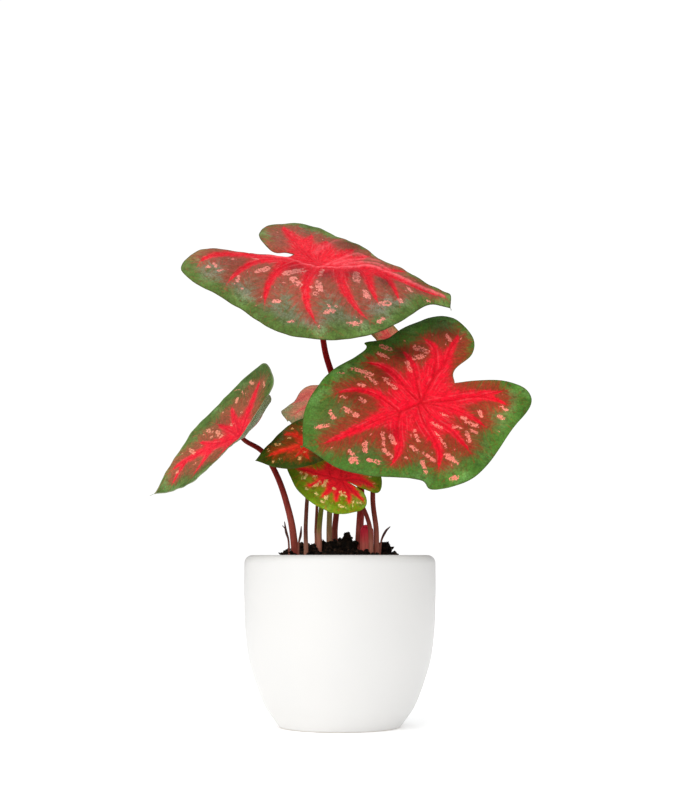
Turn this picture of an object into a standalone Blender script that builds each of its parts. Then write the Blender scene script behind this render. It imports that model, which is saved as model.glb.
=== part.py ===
"""A potted caladium: heart-shaped blades on thin stems, growing from one tuber in a white pot.

The blades are thin waved solids. Each one is drawn flat, as an outline round the point where its
stem joins it, then bent by a formula and turned to its pose. Sizes are in millimetres, times MM.
The front of the pot faces -Y and the pot stands on z = 0.
"""
import math

import bmesh
import bpy
from mathutils import Vector, noise
from mathutils.geometry import delaunay_2d_cdt, intersect_point_line

MM = 0.001
GAP = 0.3 * MM

# Pot
POT_HEIGHT = 124.4 * MM
POT_WALL = 8.0 * MM
POT_FLOOR = 8.0 * MM
RIM_ROUND = 6.0 * MM
LIP_ROUND = 1.6 * MM
POT_SIDES = 48
INNER_FLOOR_ROUND = 3.0 * MM
INNER_TOP_DROP = 9.0 * MM
BELLY = [(44.0, 0.0), (49.5, 7.5), (54.0, 14.0), (58.5, 24.0), (63.0, 37.0), (66.8, 51.0), (69.2, 72.0),
         (70.0, 96.0), (70.0, 118.4)]

# Soil and tuber
SOIL_EDGE_DROP = 8.0 * MM
SOIL_MOUND = 17.0 * MM
SOIL_CRUMB = 2.2 * MM
SOIL_CRUMB_SIZE = 8.0 * MM
SOIL_SIDES = 38
SOIL_RINGS = 13
SOIL_RING_SPREAD = 0.85
# Each lump of bark: x, y, radius and height
BARK_LUMPS = [(9.0, -23.0, 6.5, 13.0), (-37.0, -12.0, 8.0, 5.0), (36.0, 6.0, 8.0, 5.0), (2.0, 34.0, 9.0, 6.0)]
TUBER_RADIUS = 40.0 * MM
TUBER_HALF_HEIGHT = 12.0 * MM
TUBER_CENTRE_Z = 98.0 * MM
TUBER_KNOBS = 0.05
TUBER_ROOM_GAP = 0.4 * MM

# Blades
BLADE_THICKNESS = 0.8 * MM
DIMPLE_WIDTH = 18.0 * MM
DIMPLE_POWER = 1.3
DROOP_POWER = 1.4
WAVE_REACH = 14.0 * MM
WAVE_START = 0.8
ROW_STEP = math.sqrt(3) / 2
OUTLINE_STEP = 0.62
INNER_MARGIN = 0.55
SLOPE_STEP = 0.5 * MM

# Stems
STEM_SIDES = 7
STEM_HOLE_GAP = 0.35 * MM
STEM_EXIT_Z = 139.0 * MM
STEM_STRAIGHT_ABOVE = 5.0 * MM
STEM_FOOT_LIFT = 1.5 * MM
STEM_TOP_STEPS = (9.0, 5.0, 2.5)
HOLE_SIDES = 10
HOLE_BELOW = 2.6 * MM
HOLE_ABOVE = 14.0 * MM

# A blade: where its stem joins it, the compass heading, pitch and roll of its midrib in degrees,
# its bending, its wave, the spacing of its faces, and its outline from the tip round by the left.
BLADES = {
    "top": {
        "joint": (-16.5, 0.0, 340.5),
        "turn": (-4.0, -8.0, 32.0),
        "length": 101.0, "half_width": 80.0,
        "arch": 0.16, "dimple": 6.0, "lift": 0.05, "droop": (0.05, 0.30),
        "wave": 1.6, "waves": 7, "spacing": 10.0,
        "outline": [(102, -17), (101, -3), (93, -2), (73, 4), (46, 23), (20, 43), (-9, 64), (-32, 64),
                    (-49, 52), (-49, 22), (-36, 1), (-25, 3), (-19, 3), (-25, -3), (-44, -7),
                    (-82, -11), (-95, -39), (-84, -53), (-48, -66), (-7, -87), (44, -75), (66, -57),
                    (85, -24)],
        "sinus": 12,
    },
    "right": {
        "joint": (58.0, -45.0, 232.4),
        "turn": (194.0, -18.0, -60.0),
        "length": 91.0, "half_width": 68.0,
        "arch": 0.10, "dimple": 4.0, "lift": -0.10, "droop": (0.07, 0.07),
        "wave": 1.2, "waves": 8, "spacing": 10.0,
        "outline": [(91, 2), (75, 27), (50, 46), (26, 58), (21, 67), (-1, 71), (-20, 65), (-52, 43),
                    (-76, 26), (-78, 13), (-62, 2), (-29, -6), (-34, -17), (-54, -28), (-61, -46),
                    (-49, -66), (-21, -68), (2, -60), (17, -63), (20, -57), (52, -47), (78, -27)],
        "sinus": 11,
    },
    "left": {
        "joint": (-73.1, -12.0, 211.5),
        "turn": (175.0, -36.7, -53.4),
        "length": 78.0, "half_width": 46.0,
        "arch": 0.06, "dimple": 6.0, "lift": 0.60, "droop": (-0.88, 0.20),
        "twist": 0.4, "wave": 0.8, "waves": 6, "spacing": 8.0,
        "outline": [(75, -3), (62, 11), (46, 25), (25, 32), (0, 38), (-15, 41), (-30, 40), (-38, 30),
                    (-30, 10), (-19, 1), (-7, 0), (-27, -3), (-43, -6), (-47, -17), (-45, -31),
                    (-32, -42), (-6, -45), (26, -34), (53, -20), (65, -12)],
        "sinus": 10,
    },
    "small_left": {
        "joint": (-12.7, -35.0, 210.9),
        "turn": (190.0, -18.0, -50.0),
        "length": 51.0, "half_width": 24.0,
        "arch": 0.08, "dimple": 2.0, "lift": 0.0, "droop": (0.10, 0.10),
        "wave": 0.6, "waves": 5, "spacing": 7.0,
        "outline": [(51, 3), (41, 15), (24, 22), (0, 24), (-15, 22), (-23, 14), (-21, 7), (-8, 0),
                    (-21, -7), (-23, -14), (-15, -20), (0, -21), (21, -18), (37, -8)],
        "sinus": 7,
    },
    "small_low": {
        "joint": (1.6, -28.0, 177.8),
        "turn": (174.0, 18.0, -52.0),
        "length": 44.0, "half_width": 29.0,
        "arch": 0.08, "dimple": 2.0, "lift": -0.10, "droop": (0.10, 0.10),
        "wave": 0.7, "waves": 6, "spacing": 7.0,
        "outline": [(45, -2), (37, 9), (26, 20), (10, 28), (-7, 28), (-19, 22), (-23, 13), (-18, 4),
                    (-5, 0), (-15, 2), (-27, 1), (-28, -8), (-22, -20), (-8, -27), (12, -26), (32, -15)],
        "sinus": 8,
    },
    "behind_left": {
        "joint": (-9.0, 0.0, 236.5),
        "turn": (186.0, -10.0, -42.0),
        "length": 42.0, "half_width": 24.0,
        "arch": 0.10, "dimple": 2.0, "lift": 0.0, "droop": (0.05, 0.10),
        "wave": 0.8, "waves": 5, "spacing": 7.0,
        "outline": [(32, 12), (28, 17), (15, 21), (-4, 24), (-17, 21), (-25, 14), (-23, 7), (-9, 0),
                    (-24, -7), (-26, -14), (-18, -21), (4, -26), (16, -22), (24, -10), (35, -1)],
        "sinus": 7,
    },
    "behind_right": {
        "joint": (46.9, 28.0, 277.8),
        "turn": (209.0, 41.0, -65.0),
        "length": 40.0, "half_width": 15.0,
        "arch": 0.12, "dimple": 2.0, "lift": 0.0, "droop": (0.10, 0.12),
        "wave": 0.8, "waves": 5, "spacing": 6.0,
        "outline": [(40, 0), (32, 10), (22, 12), (4, 15), (-9, 15), (-17, 11), (-17, 5), (-6, 0),
                    (-17, -5), (-18, -11), (-10, -15), (7, -15), (18, -16), (31, -8)],
        "sinus": 7,
    },
    "back": {
        "joint": (36.0, 54.0, 232.0),
        "turn": (118.0, -22.0, 4.0),
        "length": 50.0, "half_width": 31.0,
        "arch": 0.14, "dimple": 2.5, "lift": -0.05, "droop": (0.12, 0.12),
        "wave": 0.9, "waves": 6, "spacing": 7.5,
        "outline": [(52, 0), (39, 14), (20, 25), (-3, 31), (-21, 27), (-31, 18), (-29, 8), (-11, 0),
                    (-30, -8), (-32, -18), (-22, -27), (-3, -31), (20, -25), (39, -13)],
        "sinus": 7,
    },
}

# A stem: its foot on the tuber, where it leaves the soil, its route to the blade, and its widths.
STEMS = {
    "top": {"foot": (13.2, 3.0), "exit": (14.3, 5.0), "width": (5.6, 3.4),
            "route": [(15.4, 12.0, 172.0), (9.4, 23.0, 215.0), (-6.6, 25.0, 261.5), (-12.6, 20.0, 284.0)]},
    "right": {"foot": (27.0, -2.0), "exit": (26.7, -4.0), "width": (3.8, 3.0),
              "route": [(24.0, -9.0, 170.0), (31.0, -14.0, 203.0)]},
    "left": {"foot": (-30.0, -11.0), "exit": (-33.9, -12.0), "width": (5.0, 2.6),
             "route": [(-36.9, -12.0, 155.0), (-42.6, -11.5, 174.0), (-49.4, -10.5, 189.0),
                       (-57.5, -9.0, 201.0)]},
    "small_left": {"foot": (-24.0, -19.0), "exit": (-24.6, -21.0), "width": (3.0, 2.0),
                   "route": [(-23.6, -13.0, 168.0), (-20.5, -5.0, 190.0), (-16.0, -11.0, 206.0)]},
    "small_low": {"foot": (23.4, -15.0), "exit": (22.4, -16.0), "width": (3.2, 2.4),
                  "route": [(17.8, -15.0, 157.0), (11.0, -12.0, 168.0)]},
    "behind_left": {"foot": (-15.0, -4.0), "exit": (-15.2, -4.0), "width": (3.8, 2.4),
                    "route": [(-12.6, 2.0, 172.0), (-11.0, 10.0, 208.0)]},
    "behind_right": {"foot": (-7.5, 1.0), "exit": (-7.9, 0.5), "width": (4.0, 2.6),
                     "route": [(-6.0, 3.0, 178.0), (3.0, 6.0, 214.0), (18.0, 14.0, 244.0),
                               (31.0, 27.0, 265.0)]},
    "back": {"foot": (-3.6, 12.0), "exit": (-3.9, 14.0), "width": (4.4, 2.8),
             "route": [(1.0, 27.0, 178.0), (14.0, 42.0, 206.0)]},
}

ROLLED_LEAF = {"foot": (-17.2, 8.5), "exit": (-17.7, 9.0), "width": 2.4, "bulge": 5.2,
               "route": [(-16.6, 15.0, 172.0), (-14.5, 19.0, 200.0), (-15.0, 21.0, 224.0)]}
NEW_SHOOT = {"foot": (19.5, -5.0), "exit": (19.6, -5.5), "width": 6.4,
             "route": [(20.0, -6.0, 147.0)]}
SPROUTS = {
    "sprout_left": [(-36.5, -18.0, 118.0), (-37.0, -18.5, 134.0), (-38.8, -19.0, 141.0),
                    (-40.0, -19.0, 148.5)],
    "sprout_middle": [(-29.5, -27.0, 119.0), (-29.4, -27.5, 132.0), (-28.0, -28.0, 139.0),
                      (-27.6, -28.0, 145.0)],
    "sprout_right": [(29.0, -15.0, 118.0), (29.8, -15.5, 133.0), (33.0, -16.0, 141.0),
                     (36.6, -16.5, 145.0)],
}
SPROUT_WIDTH = 1.8

# Base colours, linear
WHITE_GLAZE = (0.86, 0.86, 0.85, 1.0)
DARK_SOIL = (0.035, 0.022, 0.016, 1.0)
TUBER_BROWN = (0.16, 0.09, 0.05, 1.0)
BLADE_GREEN = (0.16, 0.24, 0.07, 1.0)
STEM_RED = (0.16, 0.03, 0.03, 1.0)
STEM_GREEN = (0.20, 0.20, 0.08, 1.0)
SHOOT_PINK = (0.50, 0.10, 0.10, 1.0)
DRY_BROWN = (0.14, 0.04, 0.03, 1.0)


def clear_scene():
    for item in list(bpy.data.objects):
        bpy.data.objects.remove(item, do_unlink=True)


def material(name, colour, roughness):
    made = bpy.data.materials.new(name)
    made.use_nodes = True
    shader = made.node_tree.nodes["Principled BSDF"]
    shader.inputs["Base Color"].default_value = colour
    shader.inputs["Roughness"].default_value = roughness
    return made


def add_object(name, mesh_data, colour, roughness):
    item = bpy.data.objects.new(name, mesh_data)
    bpy.context.scene.collection.objects.link(item)
    mesh_data.materials.clear()
    mesh_data.materials.append(material(name + "_material", colour, roughness))
    return item


def mesh_from(name, points, faces):
    built = bmesh.new()
    corners = [built.verts.new(point) for point in points]
    for face in faces:
        built.faces.new([corners[index] for index in face])
    bmesh.ops.recalc_face_normals(built, faces=built.faces)
    bmesh.ops.triangulate(built, faces=[face for face in built.faces if len(face.verts) > 3])
    made = bpy.data.meshes.new(name)
    built.to_mesh(made)
    built.free()
    return made


def smooth_step(before, start, end, after, t):
    """One point of a Catmull-Rom curve between start and end."""
    return 0.5 * (2 * start + (end - before) * t + (2 * before - 5 * start + 4 * end - after) * t ** 2
                  + (3 * start - before - 3 * end + after) * t ** 3)


def smooth_open(points, steps):
    """A smooth curve through the points, from the first to the last."""
    points = [Vector(point) for point in points]
    padded = [2 * points[0] - points[1]] + points + [2 * points[-1] - points[-2]]
    curve = []
    for index in range(len(points) - 1):
        for step in range(steps):
            curve.append(smooth_step(*padded[index:index + 4], step / steps))
    curve.append(points[-1])
    return curve


def lathe(name, profile, sides):
    """Revolve a profile of (radius, z) whose ends lie on the axis."""
    points = [(0.0, 0.0, profile[0][1])]
    for radius, height in profile[1:-1]:
        for side in range(sides):
            angle = 2 * math.pi * side / sides
            points.append((radius * math.cos(angle), radius * math.sin(angle), height))
    points.append((0.0, 0.0, profile[-1][1]))
    rings = len(profile) - 2
    faces = []
    for side in range(sides):
        after = (side + 1) % sides
        faces.append((0, 1 + side, 1 + after))
        for ring in range(rings - 1):
            low = 1 + ring * sides
            high = low + sides
            faces.append((low + side, high + side, high + after, low + after))
        last = 1 + (rings - 1) * sides
        faces.append((last + side, len(points) - 1, last + after))
    return mesh_from(name, points, faces)


def belly_curve():
    """The pot's outer side, from the foot up to where the rim starts to round."""
    return [(point.x * MM, point.y * MM) for point in smooth_open([(r, z, 0.0) for r, z in BELLY], 2)]


def inner_side():
    """The pot's inner side, from the floor up, one wall inside the outer side."""
    side = []
    for radius, height in belly_curve():
        if POT_FLOOR + INNER_FLOOR_ROUND < height < POT_HEIGHT - INNER_TOP_DROP:
            side.append((radius - POT_WALL, height))
    return [(side[0][0] - INNER_FLOOR_ROUND, POT_FLOOR)] + side[::2]


def build_pot():
    profile = [(0.0, 0.0)] + belly_curve()
    top_radius = BELLY[-1][0] * MM
    for angle in (30, 60, 90):
        turn = math.radians(angle)
        profile.append((top_radius - RIM_ROUND + RIM_ROUND * math.cos(turn),
                        POT_HEIGHT - RIM_ROUND + RIM_ROUND * math.sin(turn)))
    lip = top_radius - POT_WALL
    for angle in (90, 45, 0):
        turn = math.radians(angle)
        profile.append((lip + LIP_ROUND - LIP_ROUND * math.cos(turn),
                        POT_HEIGHT - LIP_ROUND + LIP_ROUND * math.sin(turn)))
    profile += inner_side()[::-1]
    profile.append((0.0, POT_FLOOR))
    return add_object("pot", lathe("pot", profile, POT_SIDES), WHITE_GLAZE, 0.35)


def soil_height(x, y, edge_radius):
    """Height of the soil's crumbly mound at one place."""
    share = min(math.hypot(x, y) / edge_radius, 1.0)
    mound = POT_HEIGHT - SOIL_EDGE_DROP + SOIL_MOUND * (1.0 - share ** 2)
    place = Vector((x / SOIL_CRUMB_SIZE, y / SOIL_CRUMB_SIZE, 3.7))
    crumbs = SOIL_CRUMB * (noise.noise(place) + 0.5 * noise.noise(place * 2.1))
    for lump_x, lump_y, lump_radius, lump_height in BARK_LUMPS:
        away = math.hypot(x - lump_x * MM, y - lump_y * MM) / (lump_radius * MM)
        crumbs += lump_height * MM * math.exp(-away ** 4)
    return mound + crumbs * (1.0 - share ** 8)


def soil_solid():
    """The soil as one plain solid that fills the pot up to its mound."""
    side = [(radius - GAP, height) for radius, height in inner_side()]
    side[0] = (side[0][0], POT_FLOOR + GAP)
    edge_radius = BELLY[-1][0] * MM - POT_WALL - GAP
    side.append((edge_radius, soil_height(edge_radius, 0.0, edge_radius)))
    points = [(0.0, 0.0, POT_FLOOR + GAP)]
    for radius, height in side:
        for index in range(SOIL_SIDES):
            angle = 2 * math.pi * index / SOIL_SIDES
            points.append((radius * math.cos(angle), radius * math.sin(angle), height))
    for ring in range(SOIL_RINGS - 1, 0, -1):
        for index in range(SOIL_SIDES):
            angle = 2 * math.pi * (index + 0.5 * (ring % 2)) / SOIL_SIDES
            radius = edge_radius * (ring / SOIL_RINGS) ** SOIL_RING_SPREAD
            x = radius * math.cos(angle)
            y = radius * math.sin(angle)
            points.append((x, y, soil_height(x, y, edge_radius)))
    points.append((0.0, 0.0, soil_height(0.0, 0.0, edge_radius)))
    rings = len(side) + SOIL_RINGS - 1
    faces = []
    for index in range(SOIL_SIDES):
        after = (index + 1) % SOIL_SIDES
        faces.append((0, 1 + after, 1 + index))
        for ring in range(rings - 1):
            low = 1 + ring * SOIL_SIDES
            high = low + SOIL_SIDES
            faces.append((low + index, low + after, high + after))
            faces.append((low + index, high + after, high + index))
        last = 1 + (rings - 1) * SOIL_SIDES
        faces.append((last + index, last + after, len(points) - 1))
    return mesh_from("soil", points, faces)


def tuber_mesh(name, clearance):
    """A flattened, knobbly tuber, or the room that it needs."""
    built = bmesh.new()
    bmesh.ops.create_uvsphere(built, u_segments=24, v_segments=10, radius=1.0)
    for corner in built.verts:
        knob = 1.0 + TUBER_KNOBS * noise.noise(corner.co * 2.3)
        corner.co.x *= knob * TUBER_RADIUS + clearance
        corner.co.y *= knob * TUBER_RADIUS + clearance
        corner.co.z = corner.co.z * (TUBER_HALF_HEIGHT + clearance) + TUBER_CENTRE_Z
    bmesh.ops.triangulate(built, faces=built.faces)
    made = bpy.data.meshes.new(name)
    built.to_mesh(made)
    built.free()
    return made


def tuber_top(x, y):
    share = min(math.hypot(x, y) / (TUBER_RADIUS * (1.0 - TUBER_KNOBS)), 0.95)
    return TUBER_CENTRE_Z + TUBER_HALF_HEIGHT * math.sqrt(1.0 - share ** 2)


def build_tuber():
    return add_object("tuber", tuber_mesh("tuber", 0.0), TUBER_BROWN, 0.9)


def stem_route(spec):
    """The lower, straight part of a stem's route and the points above it, in metres."""
    foot_x, foot_y = (value * MM for value in spec["foot"])
    foot = Vector((foot_x, foot_y, tuber_top(foot_x, foot_y) + STEM_FOOT_LIFT))
    way_out = Vector((spec["exit"][0] * MM, spec["exit"][1] * MM, STEM_EXIT_Z))
    above = way_out + (way_out - foot).normalized() * STEM_STRAIGHT_ABOVE
    upper = [Vector(point) * MM for point in spec["route"]]
    return [foot, (foot + way_out) / 2, way_out, above] + upper


def tube(name, route, radii, steps=3, sides=STEM_SIDES):
    """A closed tube along a smooth curve, with one radius for each point of the route."""
    line = smooth_open(route, steps)
    widths = smooth_open([(radius, 0.0, 0.0) for radius in radii], steps)
    across = Vector((0.0, 1.0, 0.0))
    points = []
    for index, centre in enumerate(line):
        ahead = line[min(index + 1, len(line) - 1)] - line[max(index - 1, 0)]
        ahead.normalize()
        across = (across - ahead * across.dot(ahead)).normalized()
        second = ahead.cross(across)
        for side in range(sides):
            angle = 2 * math.pi * side / sides
            around = across * math.cos(angle) + second * math.sin(angle)
            points.append(centre + around * widths[index].x)
    faces = [tuple(range(sides)), tuple(range(len(points) - sides, len(points)))]
    for ring in range(len(line) - 1):
        low = ring * sides
        for side in range(sides):
            after = (side + 1) % sides
            faces.append((low + side, low + after, low + sides + after))
            faces.append((low + side, low + sides + after, low + sides + side))
    return mesh_from(name, points, faces)


def blade_axes(spec):
    """Unit vectors along the midrib, towards its left side and up from its upper face."""
    heading, pitch, roll = (math.radians(value) for value in spec["turn"])
    flat = Vector((math.cos(heading), math.sin(heading), 0.0))
    along = flat * math.cos(pitch) + Vector((0.0, 0.0, math.sin(pitch)))
    level = Vector((-math.sin(heading), math.cos(heading), 0.0))
    upright = along.cross(level)
    left = level * math.cos(roll) + upright * math.sin(roll)
    up = upright * math.cos(roll) - level * math.sin(roll)
    return along, left, up


def blade_outline(spec):
    """The smooth closed outline, in metres, with corners at the tip and at the sinus."""
    anchors = [(x * MM, y * MM, 0.0) for x, y in spec["outline"]]
    left_side = anchors[:spec["sinus"] + 1]
    right_side = anchors[spec["sinus"]:] + anchors[:1]
    curve = smooth_open(left_side, 4)[:-1] + smooth_open(right_side, 4)[:-1]
    return even_spacing(curve, spec["spacing"] * OUTLINE_STEP * MM)


def even_spacing(curve, spacing):
    """Drop points of a closed curve that lie closer together than the spacing."""
    kept = [curve[0]]
    for point in curve[1:]:
        if (point - kept[-1]).length > spacing and (point - curve[0]).length > spacing * 0.7:
            kept.append(point)
    return kept


def edge_distance(point, outline):
    """Distance from a point to a closed outline."""
    nearest = 1.0
    for index, start in enumerate(outline):
        end = outline[(index + 1) % len(outline)]
        foot, share = intersect_point_line(point, start, end)
        share = min(max(share, 0.0), 1.0)
        nearest = min(nearest, (start + (end - start) * share - point).length)
    return nearest


def is_inside(point, outline):
    inside = False
    for index, start in enumerate(outline):
        end = outline[(index + 1) % len(outline)]
        if (start.y > point.y) != (end.y > point.y):
            if point.x < start.x + (end.x - start.x) * (point.y - start.y) / (end.y - start.y):
                inside = not inside
    return inside


def blade_rise(spec, x, y, edge):
    """Height of the bent blade above the flat sheet it is drawn on."""
    length = spec["length"] * MM
    half_width = spec["half_width"] * MM
    droop = spec["droop"][0] if y > 0 else spec["droop"][1]
    away = math.hypot(x, y)
    rise = spec["dimple"] * MM * (1.0 - math.exp(-(away / DIMPLE_WIDTH) ** DIMPLE_POWER))
    if x > 0:
        rise -= spec["arch"] * x * x / length
    else:
        rise += spec["lift"] * x * x / length
    droop *= 1.0 - spec.get("twist", 0.0) * x / length
    rise -= droop * half_width * (abs(y) / half_width) ** DROOP_POWER
    ripple = math.sin(spec["waves"] * math.atan2(y, x) + WAVE_START) * math.exp(-edge / WAVE_REACH)
    return rise + spec["wave"] * MM * ripple * min(away / half_width, 1.0)


def blade_sheet(spec):
    """Points of the flat blade, their distance to the edge, and its triangles."""
    outline = blade_outline(spec)
    spacing = spec["spacing"] * MM
    points = [point.copy() for point in outline]
    rows = int(max(abs(value) for point in spec["outline"] for value in point) / spec["spacing"]) + 2
    for row in range(-rows, rows + 1):
        for column in range(-rows, rows + 1):
            x = (column + 0.5 * (row % 2)) * spacing
            y = row * spacing * ROW_STEP
            point = Vector((x, y, 0.0))
            if is_inside(point, outline) and edge_distance(point, outline) > spacing * INNER_MARGIN:
                points.append(point)
    ring = [tuple(range(len(outline)))]
    flat, _, triangles, _, _, _ = delaunay_2d_cdt([point.to_2d() for point in points], [], ring, 1, 1e-7)
    places = [place.to_3d() for place in flat]
    edges = [edge_distance(place, outline) for place in places]
    return places, edges, triangles


def boundary_edges(triangles):
    """The directed edges that belong to one triangle only."""
    directed = set()
    for triangle in triangles:
        for index in range(3):
            directed.add((triangle[index], triangle[(index + 1) % 3]))
    return [edge for edge in directed if (edge[1], edge[0]) not in directed]


def blade_point(spec, axes, x, y, edge):
    along, left, up = axes
    joint = Vector(spec["joint"]) * MM
    return joint + along * x + left * y + up * blade_rise(spec, x, y, edge)


def build_blade(name, spec):
    places, edges, triangles = blade_sheet(spec)
    axes = blade_axes(spec)
    upper = []
    lower = []
    for place, edge in zip(places, edges):
        centre = blade_point(spec, axes, place.x, place.y, edge)
        ahead = blade_point(spec, axes, place.x + SLOPE_STEP, place.y, edge) - centre
        aside = blade_point(spec, axes, place.x, place.y + SLOPE_STEP, edge) - centre
        normal = ahead.cross(aside).normalized()
        upper.append(centre + normal * BLADE_THICKNESS / 2)
        lower.append(centre - normal * BLADE_THICKNESS / 2)
    count = len(places)
    faces = list(triangles)
    faces += [tuple(index + count for index in reversed(triangle)) for triangle in triangles]
    for start, end in boundary_edges(triangles):
        faces.append((end, start, start + count))
        faces.append((end, start + count, end + count))
    shape = mesh_from("blade_" + name, upper + lower, faces)
    return add_object("blade_" + name, shape, BLADE_GREEN, 0.5)


def build_stem(name, spec, colour):
    blade = BLADES[name]
    up = blade_axes(blade)[2]
    joint = Vector(blade["joint"]) * MM
    route = stem_route(spec)
    top_radius = spec["width"][1] / 2 * MM
    for distance in STEM_TOP_STEPS:
        route.append(joint - up * distance * MM)
    route.append(joint - up * (BLADE_THICKNESS / 2 + GAP))
    foot_radius = spec["width"][0] / 2 * MM
    radii = [foot_radius] * 4
    upper_count = len(route) - 4
    for index in range(upper_count):
        share = (index + 1) / upper_count
        radii.append(foot_radius + (top_radius - foot_radius) * share)
    return add_object("stem_" + name, tube("stem_" + name, route, radii), colour, 0.45)


def build_rolled_leaf():
    route = stem_route(ROLLED_LEAF)
    slim = ROLLED_LEAF["width"] / 2 * MM
    wide = ROLLED_LEAF["bulge"] / 2 * MM
    radii = [slim, slim, slim, slim, slim, wide, 0.5 * MM]
    return add_object("rolled_leaf", tube("rolled_leaf", route, radii, 3), STEM_GREEN, 0.5)


def build_new_shoot():
    route = stem_route(NEW_SHOOT)
    wide = NEW_SHOOT["width"] / 2 * MM
    radii = [wide, wide, wide, wide * 0.9, 0.6 * MM]
    return add_object("new_shoot", tube("new_shoot", route, radii, 3), SHOOT_PINK, 0.45)


def build_sprouts():
    made = []
    for name, route in SPROUTS.items():
        radius = SPROUT_WIDTH / 2 * MM
        radii = [radius, radius, radius * 1.3, 0.35 * MM]
        line = [Vector(point) * MM for point in route]
        made.append(add_object(name, tube(name, line, radii, 2, 6), DRY_BROWN, 0.8))
    return made


def hole_cutter(start, end, radius):
    """A straight bar, wider than what stands in it, from below its foot to above the soil."""
    ahead = (end - start).normalized()
    points = [start - ahead * HOLE_BELOW, (start + end) / 2, end + ahead * HOLE_ABOVE]
    return tube("cutter", points, [radius] * 3, 1, HOLE_SIDES)


def cut(target, cutter_mesh):
    cutter = bpy.data.objects.new("cutter", cutter_mesh)
    bpy.context.scene.collection.objects.link(cutter)
    change = target.modifiers.new("cut", "BOOLEAN")
    change.operation = "DIFFERENCE"
    change.solver = "EXACT"
    change.object = cutter
    bpy.context.view_layer.objects.active = target
    bpy.ops.object.modifier_apply(modifier=change.name)
    bpy.data.objects.remove(cutter, do_unlink=True)


def build_soil():
    soil = add_object("soil", soil_solid(), DARK_SOIL, 0.95)
    cut(soil, tuber_mesh("tuber_room", TUBER_ROOM_GAP))
    for spec in list(STEMS.values()) + [ROLLED_LEAF, NEW_SHOOT]:
        width = spec["width"][0] if isinstance(spec["width"], tuple) else spec["width"]
        route = stem_route(spec)
        cut(soil, hole_cutter(route[0], route[2], width / 2 * MM + STEM_HOLE_GAP))
    for line in SPROUTS.values():
        foot = Vector(line[0]) * MM
        way_out = Vector(line[1]) * MM
        cut(soil, hole_cutter(foot, way_out, SPROUT_WIDTH / 2 * MM + STEM_HOLE_GAP))
    return soil


def main():
    clear_scene()
    build_pot()
    build_soil()
    build_tuber()
    for name, spec in BLADES.items():
        build_blade(name, spec)
    for name, spec in STEMS.items():
        colour = STEM_GREEN if name in ("behind_left", "behind_right") else STEM_RED
        build_stem(name, spec, colour)
    build_rolled_leaf()
    build_new_shoot()
    build_sprouts()


main()
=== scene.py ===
"""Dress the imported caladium: marked blades, stems, potting mix and glazed pot, and their studio.

The file is laid out as an add-on and is run as a script. Sizes are in metres, and a table of
points in millimetres is multiplied by MM. The front of the pot faces -Y, and it stands on z = 0.
"""

import math

import bmesh
import bpy
import numpy as np
from bpy.props import FloatProperty, FloatVectorProperty, IntProperty, PointerProperty
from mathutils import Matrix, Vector, noise
from mathutils.geometry import delaunay_2d_cdt


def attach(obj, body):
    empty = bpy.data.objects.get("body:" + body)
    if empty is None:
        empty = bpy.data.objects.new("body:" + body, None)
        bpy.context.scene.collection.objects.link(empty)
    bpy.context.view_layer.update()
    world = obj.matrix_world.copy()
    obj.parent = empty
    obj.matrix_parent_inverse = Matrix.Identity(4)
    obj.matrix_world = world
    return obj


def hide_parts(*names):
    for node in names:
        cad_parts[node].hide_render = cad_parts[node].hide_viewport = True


bl_info = {
    "name": "Caladium Dresser",
    "version": (1, 0, 0),
    "blender": (4, 5, 0),
    "location": "View3D > Sidebar > Caladium",
    "description": "Builds the leaves, stems, potting mix, glazed pot and studio of a potted caladium",
    "category": "Add Mesh",
}

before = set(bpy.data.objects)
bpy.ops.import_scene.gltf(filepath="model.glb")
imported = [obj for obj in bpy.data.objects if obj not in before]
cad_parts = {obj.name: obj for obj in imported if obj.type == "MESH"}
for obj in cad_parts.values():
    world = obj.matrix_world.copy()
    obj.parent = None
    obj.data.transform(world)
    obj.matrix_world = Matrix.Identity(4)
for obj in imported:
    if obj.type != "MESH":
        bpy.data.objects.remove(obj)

MM = 0.001
BODY = "root"

# Pot, as in the part's source; its foot is drawn from the middle of its underside outwards
POT_HEIGHT = 124.4
BELLY = [(44.0, 0.0), (49.5, 7.5), (54.0, 14.0), (58.5, 24.0), (63.0, 37.0), (66.8, 51.0), (69.2, 72.0),
         (70.0, 96.0), (70.0, 118.4)]
POT_FOOT = [(0.0, 1.2), (36.0, 1.2), (38.0, 0.6), (40.0, 0.0), (43.2, 0.0), (44.4, 0.35)]
RIM_ROUND = 6.0
LIP_ROUND = 1.6
POT_FLOOR = 8.0
INNER_FLOOR_ROUND = 3.0
INNER_TOP_DROP = 9.0

# Soil and tuber, as in the part's source, apart from the lumps of bark: each has its x, y, radius and
# height, as the photo shows them
SOIL_EDGE_DROP = 8.0
SOIL_MOUND = 17.0
SOIL_CRUMB = 2.2
SOIL_CRUMB_SIZE = 8.0
SOIL_GAP = 0.3
BARK_LUMPS = [(4.8, -4.0, 4.4, 8.5), (-37.0, -12.0, 8.0, 5.0), (33.0, 8.0, 7.0, 2.5), (2.0, 34.0, 9.0, 6.0)]
# How far the dressed soil lies below the source's mound: at the wall, and in front of a line across
# the pot. The line runs so far behind the middle, and each step moves it: from x, to x, by how much
WALL_SINK = 2.6
FRONT_SINK = 5.8
FRONT_LINE = 4.0
FRONT_STEPS = [(-12.0, -10.0, -8.0), (9.0, 14.0, 12.0)]
CRUMB_SEED = 11
LUMP_CHUNKS = 5
TUBER_RADIUS = 40.0
TUBER_HALF_HEIGHT = 12.0
TUBER_CENTRE_Z = 98.0
TUBER_KNOBS = 0.05

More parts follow.
